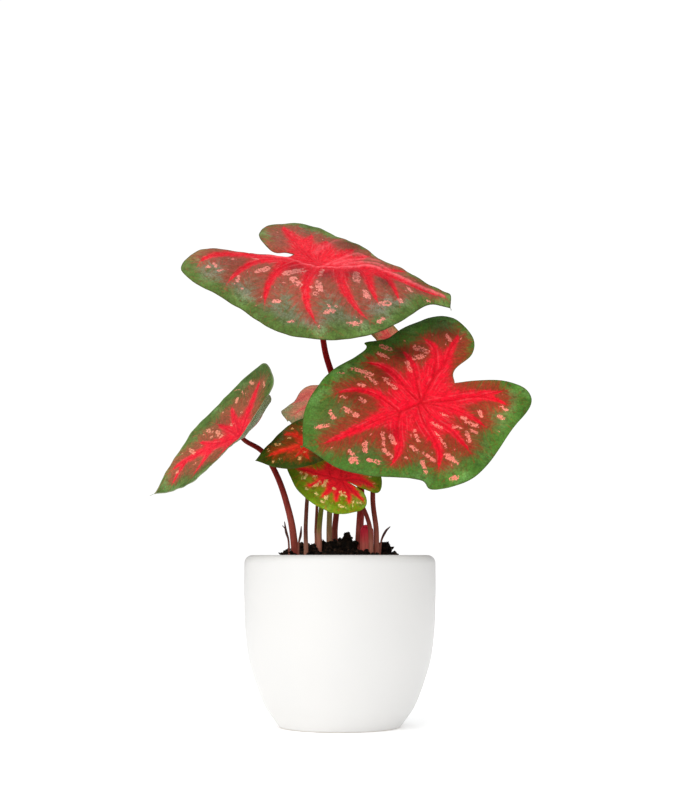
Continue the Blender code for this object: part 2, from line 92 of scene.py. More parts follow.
# Blades: how a flat blade is bent, as in the part's source
DIMPLE_WIDTH = 18.0
DIMPLE_POWER = 1.3
DROOP_POWER = 1.4
WAVE_REACH = 14.0
WAVE_START = 0.8
# and what the dressing adds: step that its slopes are measured over, radius of calm relief round the
# stem, usual reach of the blush, half-width of the tip, how far outside a fleck its depth is worked
# out, and the length that a fleck of one point gets
SLOPE_STEP = 0.5
STEM_CALM = 5.0
BLUSH_REACH = 3.1
TIP_HALF_WIDTH = 0.8
FLECK_EDGE = 3.0
SHORTEST_FLECK = 0.01
# Fine veins: their spacing along a main vein, slant in degrees, longest run and bend, how near they
# come to another main vein and to the margin, and how far from one its relief is worked out
FINE_SPACING = 7
FINE_SLANT = (48.0, 62.0)
FINE_RUN = 20
FINE_BEND = 0.035
FINE_VEIN_GAP = 1.6
FINE_RIM_GAP = 2.2
FINE_REACH = 3.0

# A blade, flat and in millimetres from the point where its stem joins it, close to the part's source:
#   joint and turn: where its stem joins it, and its midrib's compass heading, pitch and roll in degrees
#   length to waves: how the flat blade is bent, and how its margin is waved
#   outline, sinus and drip: from the tip round by the left, its point at the stem, the pointed tip
#   spacing, quilt and specular: size of its faces, swelling between its veins, strength of its shine
#   blush: how far the blush reaches from a vein, in widths of the vein's band
#   painted_shade_and_highlight: x, y, reach and change of each patch of painted shade and painted
#       highlight, with some own tone
#   flecks: start, end and radius of each pale fleck, or its middle and radius
#   folds: route, half-width and strength of each raised crest, painted with a pale pink highlight
#   veins: route, half-width of the red band at its start and at its end, share of the route it covers
BLADES = {
    "top": {
        "joint": (-16.5, 0.0, 340.5), "turn": (-4.0, -8.0, 32.0), "length": 101.0, "half_width": 80.0,
        "arch": 0.16, "dimple": 6.0, "lift": 0.05, "droop": (0.05, 0.3), "wave": 1.6, "waves": 7,
        "sinus": 12, "drip": (1.5, -3.5), "spacing": 1.0, "quilt": 1.8, "specular": 0.04,
        "outline": [(102, -17), (101, -3), (93, -2), (73, 4), (46, 23), (20, 43), (-9, 64), (-32, 64),
            (-49, 52), (-49, 22), (-36, 1), (-25, 3), (-19, 3), (-25, -3), (-44, -7), (-82, -11),
            (-95, -39), (-84, -53), (-48, -66), (-7, -87), (44, -75), (66, -57), (85, -24)],
        "painted_shade_and_highlight": [(-89, -40, 18, 0.25), (-10, -54, 18, 0.2), (20, 36, 14, -0.44), (12, 12, 12, 0.15),
            (-14, 28, 12, 0.12), (-14, -18, 8, -0.44), (9, -20, 8, -0.49), (29, -15, 8, -0.49),
            (52, -15, 7, -0.44), (-60, -24, 12, -0.21), (78, -4, 9, -0.26)],
        "flecks": [(-77, -35.5, -75, -36, 1.2), (-73, -31.5, -70, -34.5, 0.9),
            (-67.5, -38.5, -65, -36.5, 1.0), (-62.5, -21.5, -59.5, -22.5, 1.2),
            (-47, -16.5, -43.5, -15, 0.7), (-40.5, -31.5, -33.5, -26, 1.9),
            (-52.5, -39, -52.5, -44.5, 1.3), (-47.5, -51, 1.1), (-19.5, -27, -9, -19.5, 2.7),
            (-13.5, -32.5, -8, -37.5, 2.7), (-19, -38.5, 1.1), (-22, -58, -19.5, -58, 1.9),
            (-8, -76, -5, -74.5, 1.1), (5, -33, 8, -40.5, 2.2), (5.5, -44.5, 1.9), (1, -37.5, 1.3),
            (5.5, -14.5, 5, -22.5, 1.5), (16, -61, 20, -59, 1.9), (22, -54.5, 1.0), (17, -55, 1.1),
            (30.5, -14, 32.5, -22.5, 2.7), (40, -33, 42.5, -38.5, 2.4), (53, -40.5, 58, -38.5, 2.1),
            (65, -29.5, 67, -31, 1.5), (69.5, -14, 72.5, -17, 1.1), (54.5, -59.5, 56.5, -56, 1.5),
            (34, -67.5, 39.5, -66, 1.7), (42, -63, 1.2), (83.5, -21.5, 86.5, -19.5, 0.8),
            (13.5, -73.5, 1.0)],
        "folds": [
            ([(-49, -7), (-24, -5), (-12, -7.5), (-3.5, -7.5), (10, -7.5), (25, -5.5), (35, -1),
             (45, -0.5), (58, -3), (70, -6), (82, -7.5), (96, -8)], 1.3, 0.9),
            ([(6, -3), (12, 4), (19, 12), (25, 18.5), (30, 20), (35, 18)], 1.8, 0.5),
            ([(13, -2), (23, 6.5), (34, 13), (44, 12)], 2.2, 0.55),
            ([(20, -3), (31, 3), (42, 5), (54, 2)], 1.8, 0.55),
            ([(-4, 13), (0, 24), (7, 37), (13, 43)], 2.2, 0.35),
        ],
        "veins": [
            ([(0, 0), (18, -7), (36, -5), (48, -4), (62, -7), (81, -10), (100, -9)], 6.5, 2.0, 0.93),
            ([(0, 0), (-2, -20), (-3, -36), (1, -55), (8, -68), (14, -76)], 6.5, 2.6, 0.9),
            ([(18, -7), (21, -24), (27, -38), (37, -51), (45, -58), (52, -62)], 6.5, 2.4, 0.86),
            ([(36, -5), (45, -6), (53, -10), (60, -20), (64, -28), (67, -38)], 5.5, 1.6, 0.82),
            ([(30, -4), (37, -12), (43, -25), (49, -37), (56, -46)], 6.0, 2.0, 0.82),
            ([(0, 0), (-13, -9), (-24, -21), (-29, -36), (-30, -51), (-28, -66)], 6.8, 3.0, 0.9),
            ([(0, 0), (-24, -9), (-42, -18), (-52, -31), (-58, -44), (-60, -54)], 5.6, 3.0, 0.9),
            ([(0, 0), (-22, -6), (-39, -9), (-57, -13), (-72, -18), (-82, -28), (-84, -38)], 9.5, 4.5,
             0.92),
            ([(0, 0), (-14, 17), (-26, 35), (-34, 50), (-36, 60)], 10.0, 5.5, 0.92),
            ([(-12, 15), (-13, 30), (-12, 44), (-16, 58)], 6.0, 2.5, 0.7),
            ([(0, 0), (0, 12), (2, 24), (0, 38), (-2, 50)], 9.0, 4.0, 0.76),
            ([(3, -1), (13, 9), (20, 22), (26, 33)], 8.5, 3.6, 0.85),
            ([(12, -5), (25, 8), (35, 20), (44, 26)], 8.0, 3.4, 0.8),
            ([(44, -5), (55, 2), (64, 6), (72, 5)], 4.5, 1.5, 0.75),
        ],
    },
    "right": {
        "joint": (58.0, -45.0, 232.4), "turn": (194.0, -18.0, -60.0), "length": 91.0, "half_width": 68.0,
        "arch": 0.1, "dimple": 4.0, "lift": -0.1, "droop": (0.07, 0.07), "wave": 1.2, "waves": 8,
        "sinus": 11, "drip": (2.0, -0.5), "spacing": 1.0,
        "outline": [(91, 2), (75, 27), (50, 46), (26, 58), (21, 67), (-1, 71), (-20, 65), (-52, 43),
            (-76, 26), (-78, 13), (-62, 2), (-29, -6), (-34, -17), (-54, -28), (-61, -46), (-49, -66),
            (-21, -68), (2, -60), (17, -63), (20, -57), (52, -47), (78, -27)],
        "painted_shade_and_highlight": [(-42, -59, 16, -0.6), (0, -66, 16, -0.44), (-50, 27, 12, 0.4), (-42, 52, 14, 0.25),
            (75, -19, 16, 0.25), (2, 63, 14, 0.15), (-3, -44, 9, -0.53), (15, -30, 8, -0.35),
            (-17, -42, 6, -0.44), (42, -20, 8, -0.26), (30, 18, 7, -0.26)],
        "flecks": [(34.5, -44, 24.5, -34, 1.6), (29.5, -37, 24.5, -25, 1.2), (8, -54.5, 2.5, -49.5, 1.5),
            (12, -49, 7.5, -42.5, 1.1), (45.5, -43.5, 42.5, -42.5, 0.7), (37, -30, 33, -26.5, 0.9),
            (16.5, -26, 13, -17, 1.5), (39.5, -17, 38.5, -14, 1.6), (51.5, -24.5, 49, -22.5, 0.9),
            (53.5, -14, 47.5, -5, 1.6), (63.5, -16, 63, -9.5, 1.3), (77.5, -8, 69, -5.5, 1.2),
            (63.5, 19, 61.5, 23.5, 1.1), (64, 26, 61, 28, 2.4), (51, 18, 52.5, 23.5, 1.6),
            (53.5, 30.5, 47.5, 35.5, 1.3), (36.5, 15.5, 39.5, 24.5, 1.2), (40.5, 27.5, 38, 34, 1.3),
            (32, 20, 32, 25, 1.7), (21.5, 32.5, 19.5, 37.5, 1.3), (15, 21, 15, 30, 1.2),
            (15.5, 40.5, 11, 48, 1.3), (28.5, 39, 0.9), (19.5, 46, 20, 54, 1.3), (1, 47.5, -2.5, 55, 1.9),
            (5.5, 65, 1.5, 65.5, 1.5), (0, 19.5, -4, 25.5, 1.3), (-9, 14.5, -12, 18.5, 0.8),
            (-22.5, 23, -24, 28, 1.8), (-26, 30.5, -29, 32.5, 1.3), (-23.5, 34.5, -26, 37.5, 1.1),
            (-19.5, 35, -18.5, 41.5, 1.3), (-12.5, 27.5, -17, 31, 1.0), (-35.5, 21.5, -35.5, 26, 1.1),
            (-53.5, 23, -55, 26, 1.6), (-47.5, 30.5, -50, 32, 1.3), (1, 28, -1, 41.5, 0.7),
            (-5.5, 45, 0.9), (-15.5, -45, -21.5, -38.5, 2.2), (-11, -36.5, -17, -35.5, 1.8),
            (-4, -35, -3.5, -26, 1.3), (-41.5, -48, -42.5, -43.5, 1.5)],
        "veins": [
            ([(0, 0), (18, 3), (33, 4), (48, 5), (65, 6), (79, 6), (90, 3)], 8.5, 2.6, 0.84),
            ([(18, 3), (23, -8), (28, -17), (36, -24), (46, -28), (58, -29), (66, -28)], 4.2, 2.2, 0.78),
            ([(18, 3), (25, 16), (30, 30), (37, 38), (45, 43)], 8.5, 1.8, 0.88),
            ([(0, 0), (5, -12), (8, -26), (14, -38), (22, -45), (31, -49)], 5.0, 2.8, 0.84),
            ([(0, 0), (-3, -14), (-7, -31), (-6, -44), (-1, -54)], 4.6, 3.0, 0.82),
            ([(0, 0), (-16, -15), (-29, -24), (-40, -36), (-48, -43), (-54, -52)], 10.0, 3.0, 0.92),
            ([(-16, -15), (-24, -28), (-28, -40), (-25, -52), (-22, -60)], 7.5, 3.0, 0.8),
            ([(0, 0), (-18, 6), (-36, 9), (-50, 10), (-68, 11)], 9.0, 3.4, 0.86),
            ([(-36, 9), (-46, 12), (-54, 18), (-60, 25)], 3.4, 2.0, 0.85),
            ([(0, 0), (-15, 11), (-27, 23), (-35, 35), (-41, 44)], 5.5, 2.0, 0.8),
            ([(0, 0), (-3, 17), (-10, 30), (-14, 42), (-16, 52), (-15, 59)], 6.5, 2.2, 0.82),
            ([(3, 1), (5, 18), (4, 31), (5, 43), (9, 52), (13, 60)], 7.0, 2.8, 0.88),
        ],
    },
    "left": {
        "joint": (-73.1, -12.0, 211.5), "turn": (175.0, -36.7, -53.4), "length": 78.0, "half_width": 46.0,
        "arch": 0.06, "dimple": 6.0, "lift": 0.6, "droop": (-0.88, 0.2), "twist": 0.4, "wave": 0.8,
        "waves": 6, "sinus": 10, "drip": (5.0, -2.0), "spacing": 0.9, "blush": 3.5,
        "outline": [(75, -3), (62, 11), (46, 25), (25, 32), (0, 38), (-15, 41), (-30, 40), (-38, 30),
            (-30, 10), (-19, 1), (-7, 0), (-27, -1), (-43, -2), (-47, -17), (-45, -31), (-32, -42),
            (-6, -45), (26, -34), (53, -20), (65, -12)],
        "painted_shade_and_highlight": [(29, -37, 14, 0.3), (-5, -42, 14, 0.25), (60, -17, 10, 0.15), (6, -20, 6, -0.2),
            (30, -2, 8, 0.15)],
        "flecks": [(18, -22, 16, -17.5, 1.1), (12.5, -14.5, 12, -8.5, 1.5), (18, -13, 1.3),
            (36.5, -16.5, 35, -10.5, 1.3), (0.5, -13, 1.1), (-11.5, -28, -13.5, -30.5, 1.1),
            (-19.5, -31.5, 0.7), (-29, -32, -30, -26.5, 1.1), (-10.5, -15, 0.9), (38.5, 0, 1.1),
            (53, -5.5, 1.1), (1.5, -29.5, 0.7), (-37.5, -15, -36.5, -10.5, 0.9)],
        "veins": [
            ([(0, 0), (8, -1), (19, -3), (28, -6), (38, -8), (48, -11), (57, -11), (68, -7), (76, -2)],
             5.6, 3.2, 0.72),
            ([(0, 0), (-8, -6), (-15, -10), (-22, -14), (-29, -18), (-35, -22), (-40, -28)], 5.4, 3.6,
             0.84),
            ([(0, 0), (-3, -14), (-5, -24), (-7, -31)], 4.4, 3.0, 0.9),
            ([(1, 0), (6, -13), (9, -21), (13, -28)], 4.0, 3.2, 0.74),
            ([(14, -2), (21, -8), (26, -15), (31, -20)], 3.6, 2.6, 0.8),
            ([(0, 0), (-10, 6), (-18, 13), (-24, 20), (-27, 28)], 4.0, 2.0, 0.8),
            ([(0, 0), (-3, 13), (-5, 24), (-6, 35)], 3.6, 1.6, 0.8),
            ([(6, 0), (14, 12), (21, 23), (27, 31)], 3.4, 1.6, 0.75),
            ([(24, -4), (34, 6), (42, 14), (49, 20)], 3.0, 1.4, 0.75),
            ([(44, -9), (54, -3), (62, 3), (67, 7)], 2.2, 1.2, 0.7),
        ],
    },
    "small_left": {
        "joint": (-12.7, -35.0, 210.9), "turn": (190.0, -18.0, -50.0), "length": 51.0, "half_width": 24.0,
        "arch": 0.08, "dimple": 2.0, "lift": 0.0, "droop": (0.1, 0.1), "wave": 0.6, "waves": 5,
        "sinus": 7, "drip": (1.0, 0.0), "spacing": 0.8,
        "outline": [(51, 3), (41, 15), (24, 22), (0, 24), (-15, 22), (-23, 14), (-21, 7), (-8, 0),
            (-21, -7), (-23, -14), (-15, -20), (0, -21), (21, -18), (37, -8)],
        "flecks": [(23, -5, 1.2), (34, -3.5, 32, -2, 1.2), (40, -1, 1.2), (18, -14, 1.0), (22, 15, 1.5),
            (17.5, 11, 1.0), (35, 11, 1.0), (41, 10.5, 1.0), (11, -9.5, 1.3)],
        "veins": [
            ([(0, 0), (9, 4), (18, 5), (25, 5), (34, 4), (44, 4)], 5.6, 3.4, 0.97),
            ([(2, 1), (14, -1), (19, -8), (27, -11)], 5.6, 4.2, 0.95),
            ([(4, 2), (12, 7), (17, 11), (16, 20)], 4.6, 3.2, 0.92),
            ([(12, 5), (23, 12), (29, 13)], 2.6, 1.2, 0.8),
            ([(0, 0), (4, -8), (5, -16)], 2.8, 1.2, 0.8),
            ([(0, 0), (-7, -8), (-12, -15)], 3.0, 1.3, 0.8),
            ([(0, 0), (-7, 8), (-12, 15)], 3.0, 1.3, 0.8),
            ([(0, 0), (2, 9), (2, 18)], 3.0, 1.3, 0.8),
        ],
    },
    "small_low": {
        "joint": (1.6, -28.0, 177.8), "turn": (174.0, 18.0, -52.0), "length": 44.0, "half_width": 29.0,
        "arch": 0.08, "dimple": 2.0, "lift": -0.1, "droop": (0.1, 0.1), "wave": 0.7, "waves": 6,
        "sinus": 8, "drip": (2.5, 0.0), "spacing": 0.8, "blush": 1.5,
        "outline": [(45, -2), (37, 9), (26, 20), (10, 28), (-7, 28), (-19, 22), (-23, 13), (-18, 4.5),
            (-5, 0), (-15, 1.5), (-27, 1), (-28, -8), (-22, -20), (-8, -27), (12, -26), (32, -15)],
        "painted_shade_and_highlight": [(40, 12, 14, -0.62), (27, 24, 8, -0.3), (-9, 22, 12, 0.15), (-26, -8, 8, -0.25)],
        "flecks": [(29.5, 5, 0.9), (25.5, 5.5, 26.5, 8.5, 1.4), (19.5, 5, 18.5, 4.5, 1.3),
            (17, 12.5, 14.5, 8, 1.2), (10.5, 5, 10.5, 10, 1.3), (21, 16.5, 1.1), (8, 23, 6.5, 24, 0.9),
            (5.5, 20, 5.5, 18, 1.3), (14, 18, 12.5, 19, 1.0), (3, 9.5, 1.1), (-2.5, 10.5, -4, 12.5, 0.9),
            (-5.5, 10.5, -7, 13, 0.8), (-5.5, 22, 0.9), (-8.5, 22, 0.9), (-13.5, 15.5, 0.9),
            (-16.5, 15, 0.9), (-19, 14, 0.9), (-18, -10.5, 1.0), (-22.5, -6, 0.8)],
        "veins": [
            ([(0, 0), (8, 0), (17, 1), (25, 1), (34, 2)], 4.6, 2.2, 0.95),
            ([(8, 0), (13, 6), (18, 11), (24, 15)], 2.4, 1.3, 0.85),
            ([(0, 0), (4, 7), (7, 15), (10, 22)], 2.3, 1.3, 0.85),
            ([(0, 0), (0, 7), (-1, 15), (-2, 22)], 2.1, 1.2, 0.85),
            ([(0, 0), (-5, 6), (-9, 12), (-12, 20)], 2.1, 1.2, 0.85),
            ([(0, 0), (-7, 4), (-14, 8), (-21, 12)], 2.4, 1.3, 0.9),
            ([(0, 0), (-8, -5), (-16, -5), (-25, -2)], 4.8, 2.4, 0.9),
            ([(0, 0), (-3, -7), (-6, -13), (-9, -20)], 4.8, 2.4, 0.88),
            ([(0, 0), (3, -7), (6, -14), (8, -20)], 4.8, 2.2, 0.88),
            ([(8, 0), (12, -6), (15, -15)], 4.2, 1.8, 0.85),
        ],
    },
    "behind_left": {
        "joint": (-9.0, 0.0, 236.5), "turn": (186.0, -10.0, -42.0), "length": 42.0, "half_width": 24.0,
        "arch": 0.1, "dimple": 2.0, "lift": 0.0, "droop": (0.05, 0.1), "wave": 0.8, "waves": 5,
        "sinus": 7, "drip": (0.4, 0.2), "spacing": 0.8,
        "outline": [(32, 12), (28, 17), (15, 21), (-4, 24), (-17, 21), (-25, 14), (-23, 7), (-9, 0),
            (-24, -7), (-26, -14), (-18, -21), (4, -26), (16, -22), (24, -10), (35, -1)],
        "veins": [
            ([(0, 0), (10, 0), (20, 3), (30, 9)], 3.0, 1.2, 0.85),
            ([(0, 0), (5, -8), (12, -13), (19, -11), (28, -5)], 11.0, 5.5, 0.85),
            ([(0, 0), (-3, -10), (-4, -20)], 4.0, 2.0, 0.85),
            ([(0, 0), (-9, -9), (-16, -16)], 4.0, 2.0, 0.85),
            ([(0, 0), (-9, 8), (-17, 15)], 4.0, 2.0, 0.85),
            ([(0, 0), (3, 9), (6, 18)], 4.0, 2.0, 0.85),
        ],
    },
    "behind_right": {
        "joint": (46.9, 28.0, 277.8), "turn": (209.0, 41.0, -65.0), "length": 40.0, "half_width": 15.0,
        "arch": 0.12, "dimple": 2.0, "lift": 0.0, "droop": (0.1, 0.12), "wave": 0.8, "waves": 5,
        "sinus": 7, "drip": (3.0, 0.0), "spacing": 0.8,
        "outline": [(40, 0), (32, 10), (22, 12), (4, 15), (-9, 15), (-17, 11), (-17, 5), (-6, 0),
            (-17, -5), (-18, -11), (-10, -15), (7, -15), (18, -16), (31, -8)],
    },
    "back": {
        "joint": (36.0, 54.0, 232.0), "turn": (118.0, -22.0, 4.0), "length": 50.0, "half_width": 31.0,
        "arch": 0.14, "dimple": 2.5, "lift": -0.05, "droop": (0.12, 0.12), "wave": 0.9, "waves": 6,
        "sinus": 7, "drip": (3.0, 0.0), "spacing": 0.8,
        "outline": [(52, 0), (39, 14), (20, 25), (-3, 31), (-21, 27), (-31, 18), (-29, 8), (-11, 0),
            (-30, -8), (-32, -18), (-22, -27), (-3, -31), (20, -25), (39, -13)],
    },
}

# Colours of each blade's markings, linear: margin, inner green, blush between the veins, red band,
# vein line, fleck and hem; then the share of its patches that are flecked, how far the red spreads,
# how much of it is streaked with a painted pink sheen, and the radius in millimetres of the red
# flush round the stem
LOOKS = {
    # the top blade's pale grey inner green is partly its own dull green and partly a painted sheen
    "top": ((0.12, 0.21, 0.044), (0.225, 0.215, 0.155), (0.3, 0.06, 0.04), (0.65, 0.004, 0.016),
            (0.64, 0.014, 0.028), (0.78, 0.225, 0.19), (0.05, 0.045, 0.015), 0.24, -0.02, 0.32, 27.0),
    "right": ((0.086, 0.222, 0.03), (0.115, 0.125, 0.036), (0.28, 0.024, 0.012), (0.8, 0.004, 0.022),
              (0.48, 0.001, 0.006), (0.85, 0.19, 0.145), (0.06, 0.09, 0.02), 0.2, 0.0, 0.22, 30.0),
    "left": ((0.095, 0.185, 0.038), (0.14, 0.13, 0.045), (0.3, 0.085, 0.045), (0.78, 0.014, 0.034),
             (0.6, 0.008, 0.026), (0.78, 0.27, 0.17), (0.28, 0.3, 0.2), 0.4, -0.03, 0.35, 12.0),
    "small_left": ((0.042, 0.085, 0.005), (0.075, 0.066, 0.005), (0.3, 0.048, 0.006), (0.9, 0.03, 0.012),
                   (0.7, 0.008, 0.006), (0.85, 0.42, 0.13), (0.06, 0.055, 0.012), 0.3, -0.24, 0.2, 9.0),
    "small_low": ((0.21, 0.38, 0.01), (0.33, 0.35, 0.016), (0.88, 0.07, 0.028), (1.0, 0.016, 0.03),
                  (0.82, 0.008, 0.02), (1.0, 0.72, 0.26), (0.13, 0.24, 0.012), 0.5, 0.05, 0.1, 13.0),
    "behind_left": ((0.46, 0.48, 0.24), (0.52, 0.36, 0.16), (0.86, 0.34, 0.21), (1.0, 0.23, 0.185),
                    (0.9, 0.15, 0.13), (0.95, 0.42, 0.32), (0.3, 0.28, 0.16), 0.1, 0.14, 0.8, 9.0),
    "behind_right": ((0.38, 0.29, 0.08), (0.56, 0.26, 0.1), (0.8, 0.25, 0.15), (1.0, 0.15, 0.12),
                     (0.8, 0.06, 0.06), (1.0, 0.38, 0.28), (0.2, 0.12, 0.05), 0.25, 0.1, 0.5, 6.0),
    "back": ((0.09, 0.175, 0.02), (0.085, 0.095, 0.022), (0.26, 0.03, 0.014), (0.78, 0.006, 0.02),
             (0.5, 0.003, 0.01), (0.8, 0.2, 0.15), (0.05, 0.045, 0.015), 0.45, 0.0, 0.25, 12.0),
}
LOOK_LABELS = ("Margin Green", "Inner Green", "Blush Red", "Band Red", "Vein Red", "Fleck Pink", "Hem",
               "Fleck Share", "Red Spread", "Streaks")
# Colours that all blades share, and how strongly each kind of surface shines
FRESH_GREEN = (0.26, 0.42, 0.23)
# pink of the painted sheen streaks along the veins
PAINTED_SHEEN_PINK = (0.8, 0.15, 0.155)
# pink of the painted highlight along the crests of the folds
PAINTED_HIGHLIGHT_PINK = (0.95, 0.15, 0.175)
FLECK_PALE = (0.95, 0.5, 0.42)
LEAF_SHINE = 0.06
UNDERSIDE_SHINE = 0.10
STEM_SHINE = 0.05
SOIL_SHINE = 0.12
GLOSS = 0.5

# A stem: its foot on the tuber, where it leaves the soil, its widths below and above, its route to
# the blade, and its skin: its colours at the soil and above, linear, and how far up the first fades
STEMS = {
    "top": {"foot": (13.2, 3.0), "exit": (14.3, 5.0), "width": (5.6, 3.4),
            "skin": ((0.42, 0.09, 0.07), (0.2, 0.002, 0.003), 40.0),
            "route": [(15.4, 12.0, 172.0), (9.4, 23.0, 215.0), (-6.6, 25.0, 261.5), (-12.6, 20.0, 284.0)]},
    "right": {"foot": (27.0, -2.0), "exit": (26.7, -4.0), "width": (3.8, 3.0),
              "skin": ((0.42, 0.14, 0.1), (0.19, 0.03, 0.02), 30.0),
              "route": [(24.0, -9.0, 170.0), (31.0, -14.0, 203.0)]},
    "left": {"foot": (-30.0, -11.0), "exit": (-33.9, -12.0), "width": (5.0, 2.6),
             "skin": ((0.32, 0.062, 0.044), (0.165, 0.009, 0.008), 60.0),
             "route": [(-36.9, -12.0, 155.0), (-42.6, -11.5, 174.0), (-49.4, -10.5, 189.0),
                       (-57.5, -9.0, 201.0)]},
    "small_left": {"foot": (-24.0, -19.0), "exit": (-24.6, -21.0), "width": (3.0, 2.0),
                   "skin": ((0.36, 0.16, 0.11), (0.125, 0.034, 0.024), 14.0),
                   "route": [(-23.6, -13.0, 168.0), (-20.5, -5.0, 190.0), (-16.0, -11.0, 206.0)]},
    "small_low": {"foot": (23.4, -15.0), "exit": (22.4, -16.0), "width": (3.2, 2.4),
                  "skin": ((0.42, 0.15, 0.105), (0.2, 0.03, 0.02), 20.0),
                  "route": [(17.8, -15.0, 157.0), (11.0, -12.0, 168.0)]},
    "behind_left": {"foot": (-15.0, -4.0), "exit": (-15.2, -4.0), "width": (3.8, 2.4),
                    "skin": ((0.56, 0.21, 0.145), (0.17, 0.19, 0.024), 22.0),
                    "route": [(-12.6, 2.0, 172.0), (-11.0, 10.0, 208.0)]},
    "behind_right": {"foot": (-7.5, 1.0), "exit": (-7.9, 0.5), "width": (4.0, 2.6),
                     "skin": ((0.4, 0.19, 0.11), (0.24, 0.18, 0.06), 26.0),
                     "route": [(-6.0, 3.0, 178.0), (3.0, 6.0, 214.0), (18.0, 14.0, 244.0),
                               (31.0, 27.0, 265.0)]},
    "back": {"foot": (-3.6, 12.0), "exit": (-3.9, 14.0), "width": (4.4, 2.8),
             "skin": ((0.36, 0.1, 0.07), (0.21, 0.028, 0.022), 26.0),
             "route": [(1.0, 27.0, 178.0), (14.0, 42.0, 206.0)]},
}
STEM_EXIT_Z = 139.0
STEM_STRAIGHT_ABOVE = 5.0
STEM_FOOT_LIFT = 1.5
STEM_TOP_STEPS = (9.0, 5.0, 2.5)
STEM_TOP_INSET = 0.45
STEM_SMOOTHING = 14
SWELLING_Z = 131.0
SWELLING_REACH = 7.0
FLARE = 0.55
FLARE_REACH = 1.6

ROLLED_LEAF = {"foot": (-17.2, 8.5), "exit": (-17.7, 9.0), "width": 2.4, "bulge": 5.2,
               "skin": ((0.500, 0.180, 0.120), (0.200, 0.050, 0.026), 18.0),
               "route": [(-16.6, 15.0, 172.0), (-14.5, 19.0, 200.0), (-15.0, 21.0, 224.0)]}
NEW_SHOOT = {"foot": (19.5, -5.0), "exit": (19.6, -5.5), "width": 6.4, "breadth": 1.55,
             "skin": ((0.560, 0.120, 0.095), (0.640, 0.024, 0.050), 12.0),
             "route": [(20.0, -6.0, 144.5)]}
DRY_SKIN = ((0.220, 0.070, 0.050), (0.060, 0.018, 0.015), 10.0)
SPROUT_FORK = [(-38.0, -18.8, 139.5), (-39.0, -18.6, 142.5), (-41.6, -18.2, 145.6)]
SPROUTS = {
    "sprout_left": [(-36.5, -18.0, 118.0), (-37.0, -18.5, 134.0), (-38.8, -19.0, 141.0),
                    (-40.0, -19.0, 148.5)],
    "sprout_middle": [(-29.5, -27.0, 119.0), (-29.4, -27.5, 132.0), (-28.0, -28.0, 139.0),
                      (-27.6, -28.0, 145.0)],
    "sprout_right": [(29.0, -15.0, 118.0), (29.8, -15.5, 133.0), (33.0, -16.0, 141.0),
                     (36.6, -16.5, 145.0)],
}
SPROUT_RADII = (0.9, 0.7, 0.9, 0.3)
CAMERA_SIDE = 0.0074
CAMERA_HEIGHT = 0.1244
KEY_PLACE = (-0.7, -1.1, 1.1)
KEY_TARGET = (0.0, 0.0, 0.16)
SOFTBOX_PLACE = (0.0, 0.2, 1.4)
SOFTBOX_TARGET = (0.0, 0.0, 0.30)


def length_property(name, description, default):
    return FloatProperty(name=name, description=description, default=default, unit="LENGTH")


def colour_property(name, description, default):
    return FloatVectorProperty(name=name, description=description, default=(*default, 1.0),
                               subtype="COLOR", size=4)


class CaladiumPot(bpy.types.PropertyGroup):
    """Sizes and colours of the glazed pot."""
    height: length_property("Height", "Height of the pot", POT_HEIGHT * MM)
    wall: length_property("Wall", "Thickness of the pot's wall", 8.0 * MM)
    sides: IntProperty(name="Sides", description="Faces round the pot", default=160, min=16)
    glaze: colour_property("Glaze", "Colour of the glaze", (0.710, 0.702, 0.690))
    clay: colour_property("Clay", "Colour of the bare foot", (0.62, 0.58, 0.52))


class CaladiumSoil(bpy.types.PropertyGroup):
    """Sizes and colours of the potting mix."""
    spacing: length_property("Spacing", "Size of the faces of the soil's top", 1.0 * MM)
    crumbs: IntProperty(name="Crumbs", description="Number of loose crumbs", default=900, min=0)
    chips: IntProperty(name="Bark Chips", description="Number of loose bark chips", default=120, min=0)
    dark: colour_property("Dark", "Colour of the moist mix", (0.003, 0.0018, 0.001))
    light: colour_property("Light", "Colour of its drier crumbs", (0.075, 0.040, 0.022))


class CaladiumBlades(bpy.types.PropertyGroup):
    """Thickness and relief of the leaf blades."""
    thickness: length_property("Thickness", "Thickness of a blade at its middle", 0.5 * MM)
    margin: length_property("Margin", "Thickness of a blade at its margin", 0.26 * MM)
    furrow: length_property("Furrow", "Depth of a main vein in the upper face", 0.4 * MM)
    quilting: length_property("Quilting", "Height of the blade between its veins", 0.7 * MM)
    under: colour_property("Underside", "Colour of the underside", (0.150, 0.205, 0.085))


class CaladiumStems(bpy.types.PropertyGroup):
    """Sizes of the stems."""
    sides: IntProperty(name="Sides", description="Faces round a stem", default=20, min=6)
    swelling: FloatProperty(name="Swelling", description="Share by which a stem widens at the soil",
                            default=0.10, subtype="FACTOR")


class CaladiumStage(bpy.types.PropertyGroup):
    """The floor, the lights and the camera."""
    floor: length_property("Floor", "Radius of the floor", 4.0)
    lens: FloatProperty(name="Lens", description="Focal length of the camera", default=76.32,
                        unit="CAMERA")
    distance: length_property("Distance", "Distance of the camera", 1.25)
    tilt: FloatProperty(name="Tilt", description="How far the camera looks up", subtype="ANGLE",
                        default=math.radians(5.22), unit="ROTATION")
    ambient: FloatProperty(name="Ambient", description="Light from all sides", default=0.70)
    mirrored: FloatProperty(name="Mirrored", description="Brightness of what the gloss mirrors",
                            default=0.30)
    key: FloatProperty(name="Key", description="Strength of the main light", default=1.6)
    sheen: FloatProperty(name="Sheen", description="Power of the softbox above the leaves", default=3.5,
                         unit="POWER")


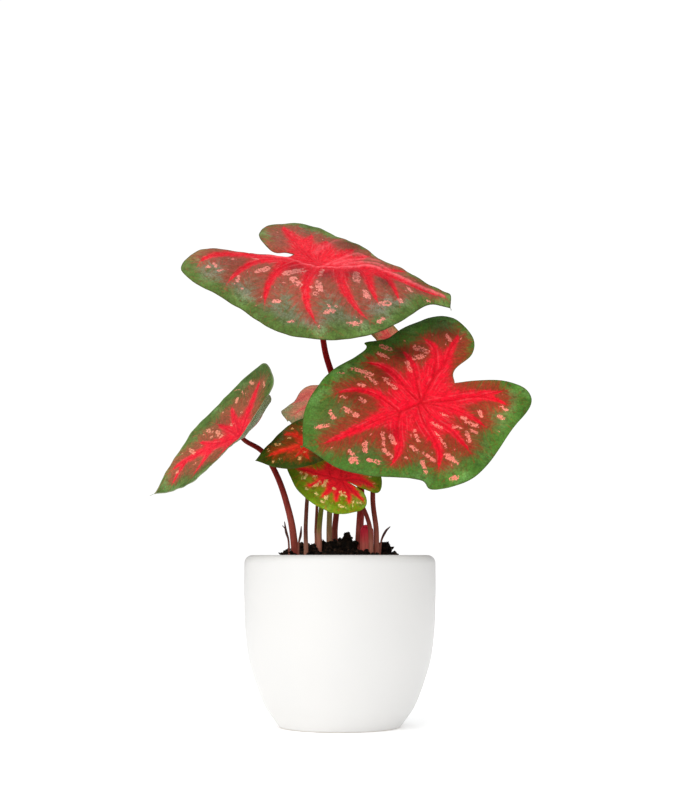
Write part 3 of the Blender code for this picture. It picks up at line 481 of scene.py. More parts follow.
def smooth_curve(points, steps):
    """A Catmull-Rom curve through the points, from the first to the last."""
    points = np.asarray(points, float)
    padded = np.vstack([2 * points[:1] - points[1:2], points, 2 * points[-1:] - points[-2:-1]])
    share = np.arange(steps)[:, None] / steps
    curve = []
    for index in range(len(points) - 1):
        before, start, end, after = padded[index:index + 4]
        curve.append(0.5 * (2 * start + (end - before) * share
                            + (2 * before - 5 * start + 4 * end - after) * share ** 2
                            + (3 * start - before - 3 * end + after) * share ** 3))
    curve.append(points[-1:])
    return np.vstack(curve)


def even_curve(curve, step):
    """The same curve with points at even distances, near the step."""
    run = np.concatenate([[0.0], np.cumsum(np.linalg.norm(np.diff(curve, axis=0), axis=1))])
    count = max(int(round(run[-1] / step)), 2)
    wanted = np.linspace(0.0, run[-1], count + 1)
    return np.stack([np.interp(wanted, run, column) for column in curve.T], axis=1)


def ease(value, low, high):
    """A smooth step from 0 at low to 1 at high."""
    share = np.clip((value - low) / (high - low), 0.0, 1.0)
    return share * share * (3.0 - 2.0 * share)


def nearest_on(line, places, rows=2500):
    """Distance from each place to a line, its run along the line, and on which side it lies."""
    starts = line[:-1]
    ways = np.diff(line, axis=0)
    lengths = np.maximum(np.linalg.norm(ways, axis=1), 1e-9)
    run = np.concatenate([[0.0], np.cumsum(lengths)])
    away = np.empty(len(places))
    along = np.empty(len(places))
    side = np.empty(len(places))
    for first in range(0, len(places), rows):
        part = places[first:first + rows]
        offset = part[:, None] - starts[None]
        share = np.clip((offset * ways).sum(2) / lengths ** 2, 0.0, 1.0)
        gap = offset - share[..., None] * ways
        reach = np.hypot(gap[..., 0], gap[..., 1])
        best = reach.argmin(1)
        row = np.arange(len(part))
        away[first:first + rows] = reach[row, best]
        along[first:first + rows] = run[best] + share[row, best] * lengths[best]
        cross = ways[best, 0] * offset[row, best, 1] - ways[best, 1] * offset[row, best, 0]
        side[first:first + rows] = np.where(cross < 0.0, -1.0, 1.0)
    return away, along, side


def close_to(line, places, reach):
    """Which places lie within reach of the box round a line, and how far each is from the line."""
    near = np.flatnonzero(((places > line.min(0) - reach) & (places < line.max(0) + reach)).all(1))
    away, _, _ = nearest_on(line, places[near])
    return near, away


def contains(outline, places, rows=4000):
    """Whether each place lies inside the closed outline."""
    end = np.roll(outline, -1, axis=0)
    rise = end[:, 1] - outline[:, 1]
    slope = (end[:, 0] - outline[:, 0]) / np.where(rise == 0.0, 1.0, rise)
    inside = np.empty(len(places), bool)
    for first in range(0, len(places), rows):
        x = places[first:first + rows, 0][:, None]
        y = places[first:first + rows, 1][:, None]
        spans = (outline[:, 1] > y) != (end[:, 1] > y)
        hits = spans & (x < outline[:, 0] + slope * (y - outline[:, 1]))
        inside[first:first + rows] = hits.sum(1) % 2 == 1
    return inside


def rolling(places, size, seed):
    """Smooth random values for the places, from about -1 to 1."""
    return np.array([noise.noise(Vector((x / size, y / size, seed))) for x, y in places])


def circle(radius, z, count):
    """Points round the pot's axis."""
    turns = [2 * math.pi * index / count for index in range(count)]
    return [(radius * math.cos(turn), radius * math.sin(turn), z) for turn in turns]


def hoop(low, high, count):
    """Faces between two rings, from the number of each ring's first point."""
    ring = [(index, (index + 1) % count) for index in range(count)]
    return [(low + index, low + after, high + after, high + index) for index, after in ring]


def disc_faces(rings):
    """Faces of a disc: one point in its middle, 6 on its first ring and 6 more on each ring after."""
    faces = [(0, 1 + index, 1 + (index + 1) % 6) for index in range(6)]
    for ring in range(1, rings):
        inner = 1 + 3 * ring * (ring - 1)
        outer = inner + 6 * ring
        for sector in range(6):
            for index in range(ring + 1):
                near = sector * ring + index
                far = near + sector
                low = inner + near % (6 * ring)
                high = outer + (far + 1) % (6 * ring + 6)
                faces.append((outer + far, high, low))
                if index < ring:
                    faces.append((low, high, inner + (near + 1) % (6 * ring)))
    return faces


def merged(parts):
    """Points and faces of several shapes in one."""
    points = np.vstack([shape for shape, _ in parts])
    faces = []
    start = 0
    for shape, corners in parts:
        faces += [tuple(start + corner for corner in face) for face in corners]
        start += len(shape)
    return points, faces


def mesh_piece(name, points, faces, replaced=None):
    """A new smooth object from points in metres, riding the plant and standing for a CAD node."""
    data = bpy.data.meshes.new(name)
    data.from_pydata([tuple(point) for point in points], [], faces)
    data.validate()
    data.polygons.foreach_set("use_smooth", [True] * len(data.polygons))
    piece = bpy.data.objects.new(name, data)
    bpy.context.scene.collection.objects.link(piece)
    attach(piece, BODY)
    if replaced:
        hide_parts(replaced)
    return piece


def add_field(piece, name, values):
    """Store a number, or three numbers, for each point of the piece."""
    values = np.asarray(values, np.float32)
    if values.ndim == 1:
        field = piece.data.attributes.new(name, "FLOAT", "POINT")
        field.data.foreach_set("value", values)
    else:
        field = piece.data.attributes.new(name, "FLOAT_VECTOR", "POINT")
        field.data.foreach_set("vector", values.ravel())


class Signal:
    """What a node gives out. A sum, difference or product of signals adds the node that makes it."""

    def __init__(self, socket):
        self.socket = socket
        self.tree = socket.id_data

    def maths(self, operation, other):
        return add_node(self.tree, "ShaderNodeMath", 0, {0: self, 1: other}, operation=operation)

    def __add__(self, other):
        return self.maths("ADD", other)

    def __sub__(self, other):
        return self.maths("SUBTRACT", other)

    def __mul__(self, other):
        return self.maths("MULTIPLY", other)

    def beside(self, output):
        """Another output of the same node."""
        return Signal(self.socket.node.outputs[output])


def wire(target, value):
    """Link a signal to a socket, or set the socket's own value."""
    if isinstance(value, Signal):
        value.tree.links.new(value.socket, target)
    elif isinstance(value, tuple) and len(value) == 3 and target.type == "RGBA":
        target.default_value = (*value, 1.0)
    else:
        target.default_value = value


def add_node(tree, kind, output, inputs=None, **settings):
    """Add a node with its settings and its inputs, by name or number, and give one of its outputs."""
    made = tree.nodes.new(kind)
    for name, value in settings.items():
        setattr(made, name, value)
    for key, value in (inputs or {}).items():
        wire(made.inputs[key], value)
    return Signal(made.outputs[output])


def mix(share, first, second):
    """Blend two colours."""
    tree = next(part.tree for part in (share, first, second) if isinstance(part, Signal))
    return add_node(tree, "ShaderNodeMix", 2, {0: share, 6: first, 7: second}, data_type="RGBA")


def between(value, low, high, start=0.0, end=1.0):
    """A smooth step of a value, from start at low to end at high."""
    return add_node(value.tree, "ShaderNodeMapRange", "Result",
                    {"Value": value, "From Min": low, "From Max": high, "To Min": start, "To Max": end},
                    interpolation_type="SMOOTHSTEP")


def swing(value, reach):
    """The value's swing about a half, times the reach."""
    return (value - 0.5) * reach


def cloud(place, scale, detail=2.0, roughness=0.5, warp=0.0, output="Fac"):
    """A noise texture."""
    return add_node(place.tree, "ShaderNodeTexNoise", output,
                    {"Vector": place, "Scale": scale, "Detail": detail, "Roughness": roughness,
                     "Distortion": warp})


def cells(place, scale, feature="F1", output="Distance"):
    """A texture of cells."""
    return add_node(place.tree, "ShaderNodeTexVoronoi", output, {"Vector": place, "Scale": scale},
                    feature=feature)


def stretched(place, scale):
    return add_node(place.tree, "ShaderNodeVectorMath", 0, {0: place, 1: scale}, operation="MULTIPLY")


def scaled(colour, share):
    return add_node(colour.tree, "ShaderNodeVectorMath", 0, {0: colour, 3: share}, operation="SCALE")


def object_place(tree):
    return add_node(tree, "ShaderNodeTexCoord", "Object")


def height_of(place):
    return add_node(place.tree, "ShaderNodeSeparateXYZ", "Z", {0: place})


FLOAT = "NodeSocketFloat"
COLOUR = "NodeSocketColor"
VECTOR = "NodeSocketVector"


def leaf_markings(given):
    """Red bands, blush, flecks, veinlets and green margin of a blade's upper face."""
    flat, way, rim, margin, blush_red, band_red = (
        given[label] for label in ("Flat", "Way", "Rim", "Margin Green", "Blush Red", "Band Red"))
    slow = cloud(flat, 0.55, 3.0, 0.55)
    middling = cloud(flat, 2.2, 3.0, 0.6)
    fine = cloud(flat, 14.0, 3.0, 0.65)
    feather = cloud(stretched(way, (5.0, 0.8, 1.0)), 1.0, 4.0, 0.6, 0.6)
    # streak: where the painted sheen streaks lie along the veins
    streak = cloud(stretched(way, (0.8, 8.0, 1.0)), 1.0, 3.0, 0.6, 0.3)
    drift = cloud(flat, 3.0, output="Color")
    warped = add_node(flat.tree, "ShaderNodeMix", 1, {0: 0.16, 4: flat, 5: drift}, data_type="VECTOR")

    # green: margin, sunny patches, inner part and mottling
    sunny = mix(0.25, scaled(margin, 1.5), FRESH_GREEN)
    sunny = mix(between(slow, 0.46, 0.66, 0.0, 0.9), margin, sunny)
    green = mix(between(rim + swing(slow, 22.0), 4.0, 17.0), sunny, given["Inner Green"])
    darker = scaled(margin, 0.42)
    green = mix(between(middling, 0.44, 0.70, 0.0, 0.8), green, darker)
    green = mix(between(cloud(flat, 0.28), 0.46, 0.60, 0.45, 0.0), green, darker)

    # blush between the veins, feathered
    halo = given["Blush"] + swing(middling, 0.7) + swing(feather, 1.3) + given["Red Spread"] * 1.5
    strokes = cloud(stretched(way, (10.0, 1.8, 1.0)), 1.0, 3.0, 0.7, 0.4)
    brushed = mix(between(strokes, 0.50, 0.68, 0.0, 0.55), blush_red, mix(0.55, blush_red, band_red))
    brushed = mix(between(strokes, 0.34, 0.50, 0.60, 0.0), brushed, darker)
    colour = mix(between(halo, 0.15, 0.80, 0.0, 0.92), green, brushed)

    # net of veinlets, ruddy within the blush
    veinlet = between(cells(warped, 5.5, "DISTANCE_TO_EDGE"), 0.02, 0.10, 1.0, 0.0)
    ruddy = mix(between(halo, -0.1, 0.5, 0.92, 0.3), blush_red, darker)
    colour = mix(veinlet * 0.52, colour, ruddy)

    # red bands along the veins, brushed outwards, dusky at their edges and streaked with a painted pink
    # sheen
    level = given["Band"] + swing(feather, 1.0) + swing(middling, 0.6) + swing(fine, 0.25)
    level = level + given["Red Spread"]
    red = between(level, 0.14, 0.74)
    tint = mix(between(level, 0.42, 1.05, 0.9, 0.0), band_red, mix(0.60, band_red, blush_red))
    tint = mix(between(middling, 0.35, 0.65, 0.35, 0.0), tint, given["Vein Red"])
    # painted sheen: pale pink streaks along the veins
    tint = mix(between(streak, 0.50, 0.68) * given["Streaks"], tint, PAINTED_SHEEN_PINK)
    colour = mix(red, colour, tint)
    # painted highlight: pale pink along the crests of the folds
    colour = mix(given["Crest"] * between(middling, 0.30, 0.62, 0.45, 1.0), colour, PAINTED_HIGHLIGHT_PINK)

    # flecks: broken patches between the bands, the large ones at set places
    chance = add_node(flat.tree, "ShaderNodeSeparateColor", 0, {0: cells(warped, 9.0, "F1", "Color")})
    split = between(cells(warped, 9.0, "DISTANCE_TO_EDGE"), 0.0, 0.12, 0.30, 1.0)
    split = split * between(chance, 0.12, 0.34, 0.10, 1.0)
    placed = between(given["Fleck"] + swing(chance, 1.4) + swing(fine, 2.2), -0.25, 0.30) * split
    patch = cells(stretched(way, (1.0, 2.1, 1.0)), 1.6)
    draw = add_node(flat.tree, "ShaderNodeSeparateColor", 0, {0: patch.beside("Color")})
    size = draw.beside(1) * 0.16 + 0.08
    spot = between(patch + swing(chance, 0.30) - size, -0.05, 0.0, 1.0, 0.0)
    spot = spot * between(draw - given["Fleck Share"], -0.01, 0.0, 1.0, 0.0) * split
    spot = spot * between(rim, 2.5, 5.0) * between(given["Band"], 0.30, 0.60, 1.0, 0.0)
    flecked = placed.maths("MAXIMUM", spot)
    paler = mix(between(fine, 0.45, 0.70, 0.0, 0.45), given["Fleck Pink"], FLECK_PALE)
    colour = mix(flecked * 0.96, colour, paler)

    # vein lines, hem and fine grain, scaled by the painted shade and painted highlights of Shade
    colour = mix(given["Line"] * between(red, 0.0, 1.0, 0.45, 0.85), colour, given["Vein Red"])
    edge = between(rim, 0.2, 1.1, 1.0, 0.0) * between(slow, 0.35, 0.65, 0.35, 0.9)
    colour = mix(edge, colour, given["Hem"])
    grain = between(cloud(flat, 4.0, 3.0, 0.6, 1.0), 0.32, 0.68, 0.84, 1.16)
    gloss = between(middling, 0.3, 0.7, 0.40, 0.52) + flecked * 0.08
    return scaled(colour, grain * given["Shade"]), gloss, veinlet * -0.7 + fine + feather * 0.6


def leaf_underside(given):
    """The paler underside of a blade, with its veins standing out."""
    flat = given["Flat"]
    slow = cloud(flat, 0.8, 3.0, 0.55)
    feather = cloud(stretched(given["Way"], (7.0, 0.9, 1.0)), 1.0, 3.0, 0.6)
    veinlet = between(cells(flat, 5.5, "DISTANCE_TO_EDGE"), 0.02, 0.12, 1.0, 0.0)
    colour = mix(between(slow, 0.35, 0.7, 0.0, 0.6), given["Under"], (0.085, 0.140, 0.045))
    colour = mix(between(given["Band"] + swing(feather, 0.6), 0.2, 0.9, 0.0, 0.75), colour, given["Pink"])
    colour = mix(veinlet * 0.25, colour, (0.36, 0.38, 0.24))
    colour = mix(given["Line"] * 0.8, colour, (0.50, 0.20, 0.17))
    colour = mix(between(given["Rim"], 0.25, 0.9, 0.8, 0.0), colour, (0.080, 0.055, 0.022))
    return colour, between(slow, 0.3, 0.7, 0.5, 0.62), veinlet * 0.8 + cloud(flat, 18.0, 3.0, 0.6)


def stem_skin(given):
    """Streaked skin of a stem that changes colour from the soil upwards."""
    place = object_place(given["Low"].tree)
    streak = cloud(stretched(place, (1500.0, 1500.0, 60.0)), 1.0, 3.0, 0.6)
    patch = cloud(place, 120.0, 3.0, 0.6)
    level = (height_of(place) - given["Soil Height"]).maths("DIVIDE", given["Reach"]) + swing(patch, 0.8)
    colour = mix(between(level, 0.0, 1.0), given["Low"], given["High"])
    colour = mix(between(streak, 0.45, 0.75, 0.0, 0.7), colour, mix(0.65, colour, (0.020, 0.006, 0.006)))
    colour = mix(between(patch, 0.55, 0.8, 0.0, 0.25), colour, (0.24, 0.20, 0.08))
    return colour, between(patch, 0.3, 0.7, 0.42, 0.58), streak


def crumbly(given):
    """Mottled dark and light crumb for soil, bark and tuber."""
    place = object_place(given["Dark"].tree)
    lump = cloud(place, given["Size"], 5.0, 0.65)
    grit = cloud(place, given["Size"] * 6.0, 3.0, 0.7)
    level = lump + swing(grit, 0.5) + (given["Lightness"] - 0.5)
    colour = mix(between(level, 0.40, 0.80), given["Dark"], given["Light"])
    return colour, between(lump, 0.3, 0.7, 0.72, 0.95), lump + grit * 0.5


def glazed(given):
    """White satin glaze with faint mottling, and a bare foot."""
    place = object_place(given["Glaze"].tree)
    slow = cloud(place, 16.0, 3.0, 0.5)
    pits = cloud(place, 900.0, 2.0, 0.6)
    colour = mix(between(slow, 0.35, 0.70, 0.0, 0.5), given["Glaze"], (0.690, 0.688, 0.680))
    colour = mix(between(pits, 0.70, 0.80, 0.0, 0.25), colour, (0.70, 0.68, 0.64))
    bare = between(height_of(place) + swing(slow, 0.0012), 0.0002, 0.0009, 1.0, 0.0)
    rough = between(slow, 0.3, 0.7, 0.34, 0.42) + bare * 0.4
    return mix(bare, colour, given["Clay"]), rough, cloud(place, 40.0) + pits * 0.06


# Shared groups: what builds each, and its inputs, each with its default or its kind
GROUPS = {
    "Leaf Markings": (leaf_markings, {
        "Band": 0.0, "Blush": 0.0, "Line": 0.0, "Rim": 10.0, "Fleck": -3.0, "Shade": 1.0, "Crest": 0.0,
        "Flat": VECTOR, "Way": VECTOR, "Margin Green": COLOUR, "Inner Green": COLOUR,
        "Blush Red": COLOUR, "Band Red": COLOUR, "Vein Red": COLOUR, "Fleck Pink": COLOUR,
        "Hem": COLOUR, "Fleck Share": 0.5, "Red Spread": 0.0, "Streaks": 0.2}),
    "Leaf Underside": (leaf_underside, {
        "Band": 0.0, "Line": 0.0, "Rim": 10.0, "Flat": VECTOR, "Way": VECTOR, "Under": COLOUR,
        "Pink": COLOUR}),
    "Stem Skin": (stem_skin, {"Low": COLOUR, "High": COLOUR, "Soil Height": 0.13, "Reach": 0.03}),
    "Crumbly": (crumbly, {"Dark": COLOUR, "Light": COLOUR, "Lightness": 0.5, "Size": 300.0}),
    "Glaze": (glazed, {"Glaze": COLOUR, "Clay": COLOUR}),
}


def node_group(name):
    """The shader node group of that name, built on its first use."""
    if name in bpy.data.node_groups:
        return bpy.data.node_groups[name]
    recipe, inputs = GROUPS[name]
    tree = bpy.data.node_groups.new(name, "ShaderNodeTree")
    for label, default in inputs.items():
        number = isinstance(default, float)
        kind = FLOAT if number else default
        socket = tree.interface.new_socket(name=label, in_out="INPUT", socket_type=kind)
        if number:
            socket.default_value = default
    results = {"Color": COLOUR, "Roughness": FLOAT, "Height": FLOAT}
    for label, kind in results.items():
        tree.interface.new_socket(name=label, in_out="OUTPUT", socket_type=kind)
    given = {socket.name: Signal(socket) for socket in tree.nodes.new("NodeGroupInput").outputs}
    ends = tree.nodes.new("NodeGroupOutput").inputs
    for label, signal in zip(results, recipe(given)):
        wire(ends[label], signal)
    return tree


def surface(piece, name, group, values, bump, depth, shine=GLOSS, fields=()):
    """Give a piece a material whose colour, roughness and relief come from one shared group.

    The relief has a strength, bump, and a depth in millimetres.
    """
    made = bpy.data.materials.get(name)
    if made is None:
        made = bpy.data.materials.new(name)
        made.use_nodes = True
        tree = made.node_tree
        shader = tree.nodes["Principled BSDF"].inputs
        shader["Specular IOR Level"].default_value = shine
        placed = add_node(tree, "ShaderNodeGroup", "Color", values, node_tree=node_group(group))
        for field in fields:
            output = "Vector" if field in ("flat", "way") else "Fac"
            source = add_node(tree, "ShaderNodeAttribute", output, attribute_name=field)
            wire(placed.socket.node.inputs[field.title()], source)
        wire(shader["Base Color"], placed)
        wire(shader["Roughness"], placed.beside("Roughness"))
        relief = {"Strength": bump, "Distance": depth * MM, "Height": placed.beside("Height")}
        wire(shader["Normal"], add_node(tree, "ShaderNodeBump", "Normal", relief))
    piece.data.materials.append(made)


def crumb_surface(piece, name, dark, light, lightness, size, bump, depth, shine=SOIL_SHINE):
    """Give a piece a crumbly material."""
    surface(piece, name, "Crumbly", {"Dark": dark, "Light": light, "Lightness": lightness, "Size": size},
            bump, depth, shine)


def skin_surface(piece, name, skin):
    """Give a stem its skin, from its colours at the soil and above and how far up the first fades."""
    low, high, reach = skin
    surface(piece, "stem_skin_" + name, "Stem Skin", {"Low": low, "High": high, "Reach": reach * MM},
            bump=0.35, depth=0.12, shine=STEM_SHINE)


def blade_axes(spec):
    """Unit vectors along the midrib, towards its left side and up from its upper face."""
    heading, pitch, roll = (math.radians(value) for value in spec["turn"])
    flat = Vector((math.cos(heading), math.sin(heading), 0.0))
    along = flat * math.cos(pitch) + Vector((0.0, 0.0, math.sin(pitch)))
    level = Vector((-math.sin(heading), math.cos(heading), 0.0))
    upright = along.cross(level)
    left = level * math.cos(roll) + upright * math.sin(roll)
    up = upright * math.cos(roll) - level * math.sin(roll)
    return np.array(along), np.array(left), np.array(up)


def blade_rise(spec, x, y, edge):
    """Height of the bent blade above the flat sheet it is drawn on, in millimetres."""
    length = spec["length"]
    half_width = spec["half_width"]
    droop = np.where(y > 0.0, spec["droop"][0], spec["droop"][1])
    away = np.hypot(x, y)
    rise = spec["dimple"] * (1.0 - np.exp(-(away / DIMPLE_WIDTH) ** DIMPLE_POWER))
    rise += np.where(x > 0.0, -spec["arch"], spec["lift"]) * x * x / length
    droop = droop * (1.0 - spec.get("twist", 0.0) * x / length)
    rise -= droop * half_width * (np.abs(y) / half_width) ** DROOP_POWER
    ripple = np.sin(spec["waves"] * np.arctan2(y, x) + WAVE_START) * np.exp(-edge / WAVE_REACH)
    return rise + spec["wave"] * ripple * np.minimum(away / half_width, 1.0)


def blade_outline(spec):
    """The blade's closed outline in millimetres, with a drip point at the tip."""
    anchors = [np.array(point, float) for point in spec["outline"]]
    sinus = spec["sinus"]
    drip = anchors[0] + np.array(spec["drip"])
    way = drip - (anchors[1] + anchors[-1]) / 2
    way /= np.linalg.norm(way)
    across = np.array([-way[1], way[0]]) * TIP_HALF_WIDTH
    left_side = [drip, anchors[0] + across] + anchors[1:sinus + 1]
    right_side = anchors[sinus:] + [anchors[0] - across, drip]
    step = spec["spacing"] * 0.85
    left_curve = even_curve(smooth_curve(left_side, 14), step)
    right_curve = even_curve(smooth_curve(right_side, 14), step)
    return np.vstack([left_curve[:-1], right_curve[:-1]])


def plain_veins(spec, outline):
    """Veins of a small blade: its midrib, pairs of side veins and one vein into each lobe."""
    tip = np.array(spec["outline"][0], float)
    veins = [([(0.0, 0.0), tuple(tip * 0.4 + (0.0, 0.8)), tuple(tip * 0.72), tuple(tip * 0.97)],
              3.6, 1.3, 0.9)]
    # where each pair leaves the midrib, its direction, and its band's widths
    pairs = [(0.0, 158.0, 3.2, 1.4), (0.0, 128.0, 2.8, 1.2), (0.02, 98.0, 3.0, 1.2), (0.14, 66.0, 2.8, 1.1),
             (0.34, 44.0, 2.4, 1.0), (0.56, 30.0, 1.8, 0.8)]
    for start, turn, near, far in pairs:
        for side in (1.0, -1.0):
            foot = tip * start
            way = np.array([math.cos(math.radians(turn)), side * math.sin(math.radians(turn))])
            reach = 4.0
            while reach < 90.0 and contains(outline, (foot + way * reach)[None])[0]:
                reach += 0.5
            end = foot + way * reach * 0.9
            bow = np.array([0.09 * reach, -0.05 * side * reach])
            veins.append(([tuple(foot), tuple(foot + way * reach * 0.45 + bow * 0.5), tuple(end)],
                          near, far, 0.8))
    return veins


def side_veins(veins, outline, generator):
    """Fine veins that leave each main vein at a slant and stop short of the next one."""
    lines = [even_curve(smooth_curve(route, 8), 1.0) for route, _, _, _ in veins]
    walls = np.vstack(lines)
    owners = np.concatenate([np.full(len(line), index) for index, line in enumerate(lines)])
    fine = []
    for index, line in enumerate(lines):
        others = walls[owners != index]
        for start in range(FINE_SPACING, len(line) - 2, FINE_SPACING):
            ahead = line[start + 1] - line[start - 1]
            ahead /= np.linalg.norm(ahead)
            for side in (1.0, -1.0):
                place = line[start + int(generator.integers(-2, 2))].copy()
                turn = side * math.radians(generator.uniform(*FINE_SLANT))
                way = np.array([ahead[0] * math.cos(turn) - ahead[1] * math.sin(turn),
                                ahead[0] * math.sin(turn) + ahead[1] * math.cos(turn)])
                route = [place.copy()]
                for _ in range(FINE_RUN):
                    way += ahead * FINE_BEND
                    way /= np.linalg.norm(way)
                    place = place + way
                    near = np.hypot(*(others - place).T).min() if len(others) else 9.0
                    rim = np.hypot(*(outline - place).T).min()
                    if near < FINE_VEIN_GAP or rim < FINE_RIM_GAP:
                        break
                    if not contains(outline, place[None])[0]:
                        break
                    route.append(place.copy())
                if len(route) > 4:
                    fine.append(np.array(route)[::2])
    return lines, fine


def fleck_depth(places, flecks):
    """How deep each place lies inside the nearest fleck, in millimetres, and below 0 outside."""
    depth = np.full(len(places), -FLECK_EDGE)
    for *route, radius in flecks:
        line = np.array([route[:2], route[-2:]])
        line[1, 0] += SHORTEST_FLECK
        near, away = close_to(line, places, radius + FLECK_EDGE)
        depth[near] = np.maximum(depth[near], radius - away)
    return depth


def crest(places, folds):
    """How near each place lies to the raised crest of a fold, from 0 to 1: it lifts the relief and places
    the painted pink highlight.
    """
    level = np.zeros(len(places))
    for route, half_width, strength in folds:
        away, _, _ = nearest_on(even_curve(smooth_curve(route, 8), 1.0), places)
        level = np.maximum(level, strength * np.exp(-(away / half_width) ** 2))
    return level


def painted_light_factor(places, painted_shade_and_highlight):
    """Painted shade and painted highlight at each place of the blade, with some of its own tone, as a
    factor.
    """
    factor = np.ones(len(places))
    for x, y, reach, change in painted_shade_and_highlight:
        away = np.hypot(places[:, 0] - x, places[:, 1] - y)
        factor *= 1.0 + change * np.exp(-(away / reach) ** 2)
    return factor


def blade_fields(places, ring, veins, lines, fine, flush, reach):
    """For each place of the flat blade: edge distance, band, blush, line, vein route and relief."""
    rim, _, _ = nearest_on(ring, places)
    round_stem = np.hypot(*places.T) / flush
    bare = 1.0 - 0.9 * np.exp(-round_stem ** 3)
    pale = np.ones(len(places))
    line_mask = np.zeros(len(places))
    closest = np.full(len(places), 1e9)
    way = np.zeros((len(places), 3))
    for index, (vein, line) in enumerate(zip(veins, lines)):
        _, near, far, share = vein
        away, along, side = nearest_on(line, places)
        part = np.minimum(along / np.linalg.norm(np.diff(line, axis=0), axis=1).sum(), 1.0)
        width = far + (near - far) * (1.0 - part) ** 1.3
        width = np.maximum(width * np.sqrt(np.clip(1.0 - (part / share) ** 3, 0.0, 1.0)), 0.35)
        bare *= 1.0 - np.exp(-0.69 * (away / width) ** 2) * (1.0 - ease(part, share - 0.05, share + 0.1))
        halo = reach * (far + (near - far) * (1.0 - part))
        pale *= 1.0 - 0.9 * np.exp(-(away / halo) ** 2) * (1.0 - ease(part, share - 0.1, share + 0.2))
        thick = (0.40 + 0.07 * near) * (1.0 - 0.65 * part)
        line_mask = np.maximum(line_mask, np.exp(-(away / thick) ** 2) * (1.0 - 0.6 * part))
        nearer = away < closest
        closest = np.minimum(closest, away)
        way[nearer, 0] = (along - 0.9 * away)[nearer]
        way[nearer, 1] = away[nearer]
        way[nearer, 2] = index * 13.0 + side[nearer] * 5.0
    thin = np.full(len(places), 9.0)
    for line in fine:
        near, away = close_to(line, places, FINE_REACH)
        thin[near] = np.minimum(thin[near], away)
    line_mask = np.maximum(line_mask, 0.25 * np.exp(-(thin / 0.3) ** 2))
    inset = 1.0 - np.exp(-rim / 4.0)
    quilt = (1.0 - np.exp(-(closest / 5.0) ** 2)) * inset
    small_quilt = (1.0 - np.exp(-(thin / 1.5) ** 2)) * (1.0 - np.exp(-(closest / 1.5) ** 2)) * inset
    return {"rim": rim, "band": 1.0 - bare, "blush": 1.0 - pale, "line": line_mask, "way": way / 10.0,
            "quilt": quilt + 0.28 * small_quilt, "flat": np.c_[places / 10.0, np.zeros(len(places))]}


def blade_sheet(spec, outline, ring, lines):
    """Places and triangles of the flat blade, with points along its veins."""
    step = spec["spacing"]
    lowest = outline.min(0)
    highest = outline.max(0)
    rows = np.arange(lowest[1], highest[1], step * math.sqrt(3) / 2)
    grid = []
    for index, y in enumerate(rows):
        xs = np.arange(lowest[0] + 0.5 * step * (index % 2), highest[0], step)
        grid.append(np.c_[xs, np.full(len(xs), y)])
    grid = np.vstack(grid)
    grid = grid[contains(outline, grid)]
    rim, _, _ = nearest_on(ring, grid)
    grid = grid[rim > step * 0.55]
    veins = []
    for line in lines:
        route = even_curve(line, step * 0.9)
        inside = contains(outline, route)
        near, _, _ = nearest_on(ring, route)
        veins.append(route[inside & (near > step * 0.8)])
    spine = np.vstack(veins)
    keep = np.ones(len(grid), bool)
    for line in veins:
        if len(line) > 1:
            away, _, _ = nearest_on(line, grid)
            keep &= away > step * 0.45
    grid = grid[keep]
    points = [Vector(place) for place in np.vstack([outline, spine, grid])]
    flat, _, triangles, _, _, _ = delaunay_2d_cdt(points, [], [tuple(range(len(outline)))], 1, 1e-4)
    return np.array([tuple(place) for place in flat]), [tuple(triangle) for triangle in triangles]


def open_edges(triangles):
    """The directed edges that belong to one triangle only."""
    directed = set()
    for triangle in triangles:
        for index in range(3):
            directed.add((triangle[index], triangle[(index + 1) % 3]))
    return [edge for edge in sorted(directed) if (edge[1], edge[0]) not in directed]


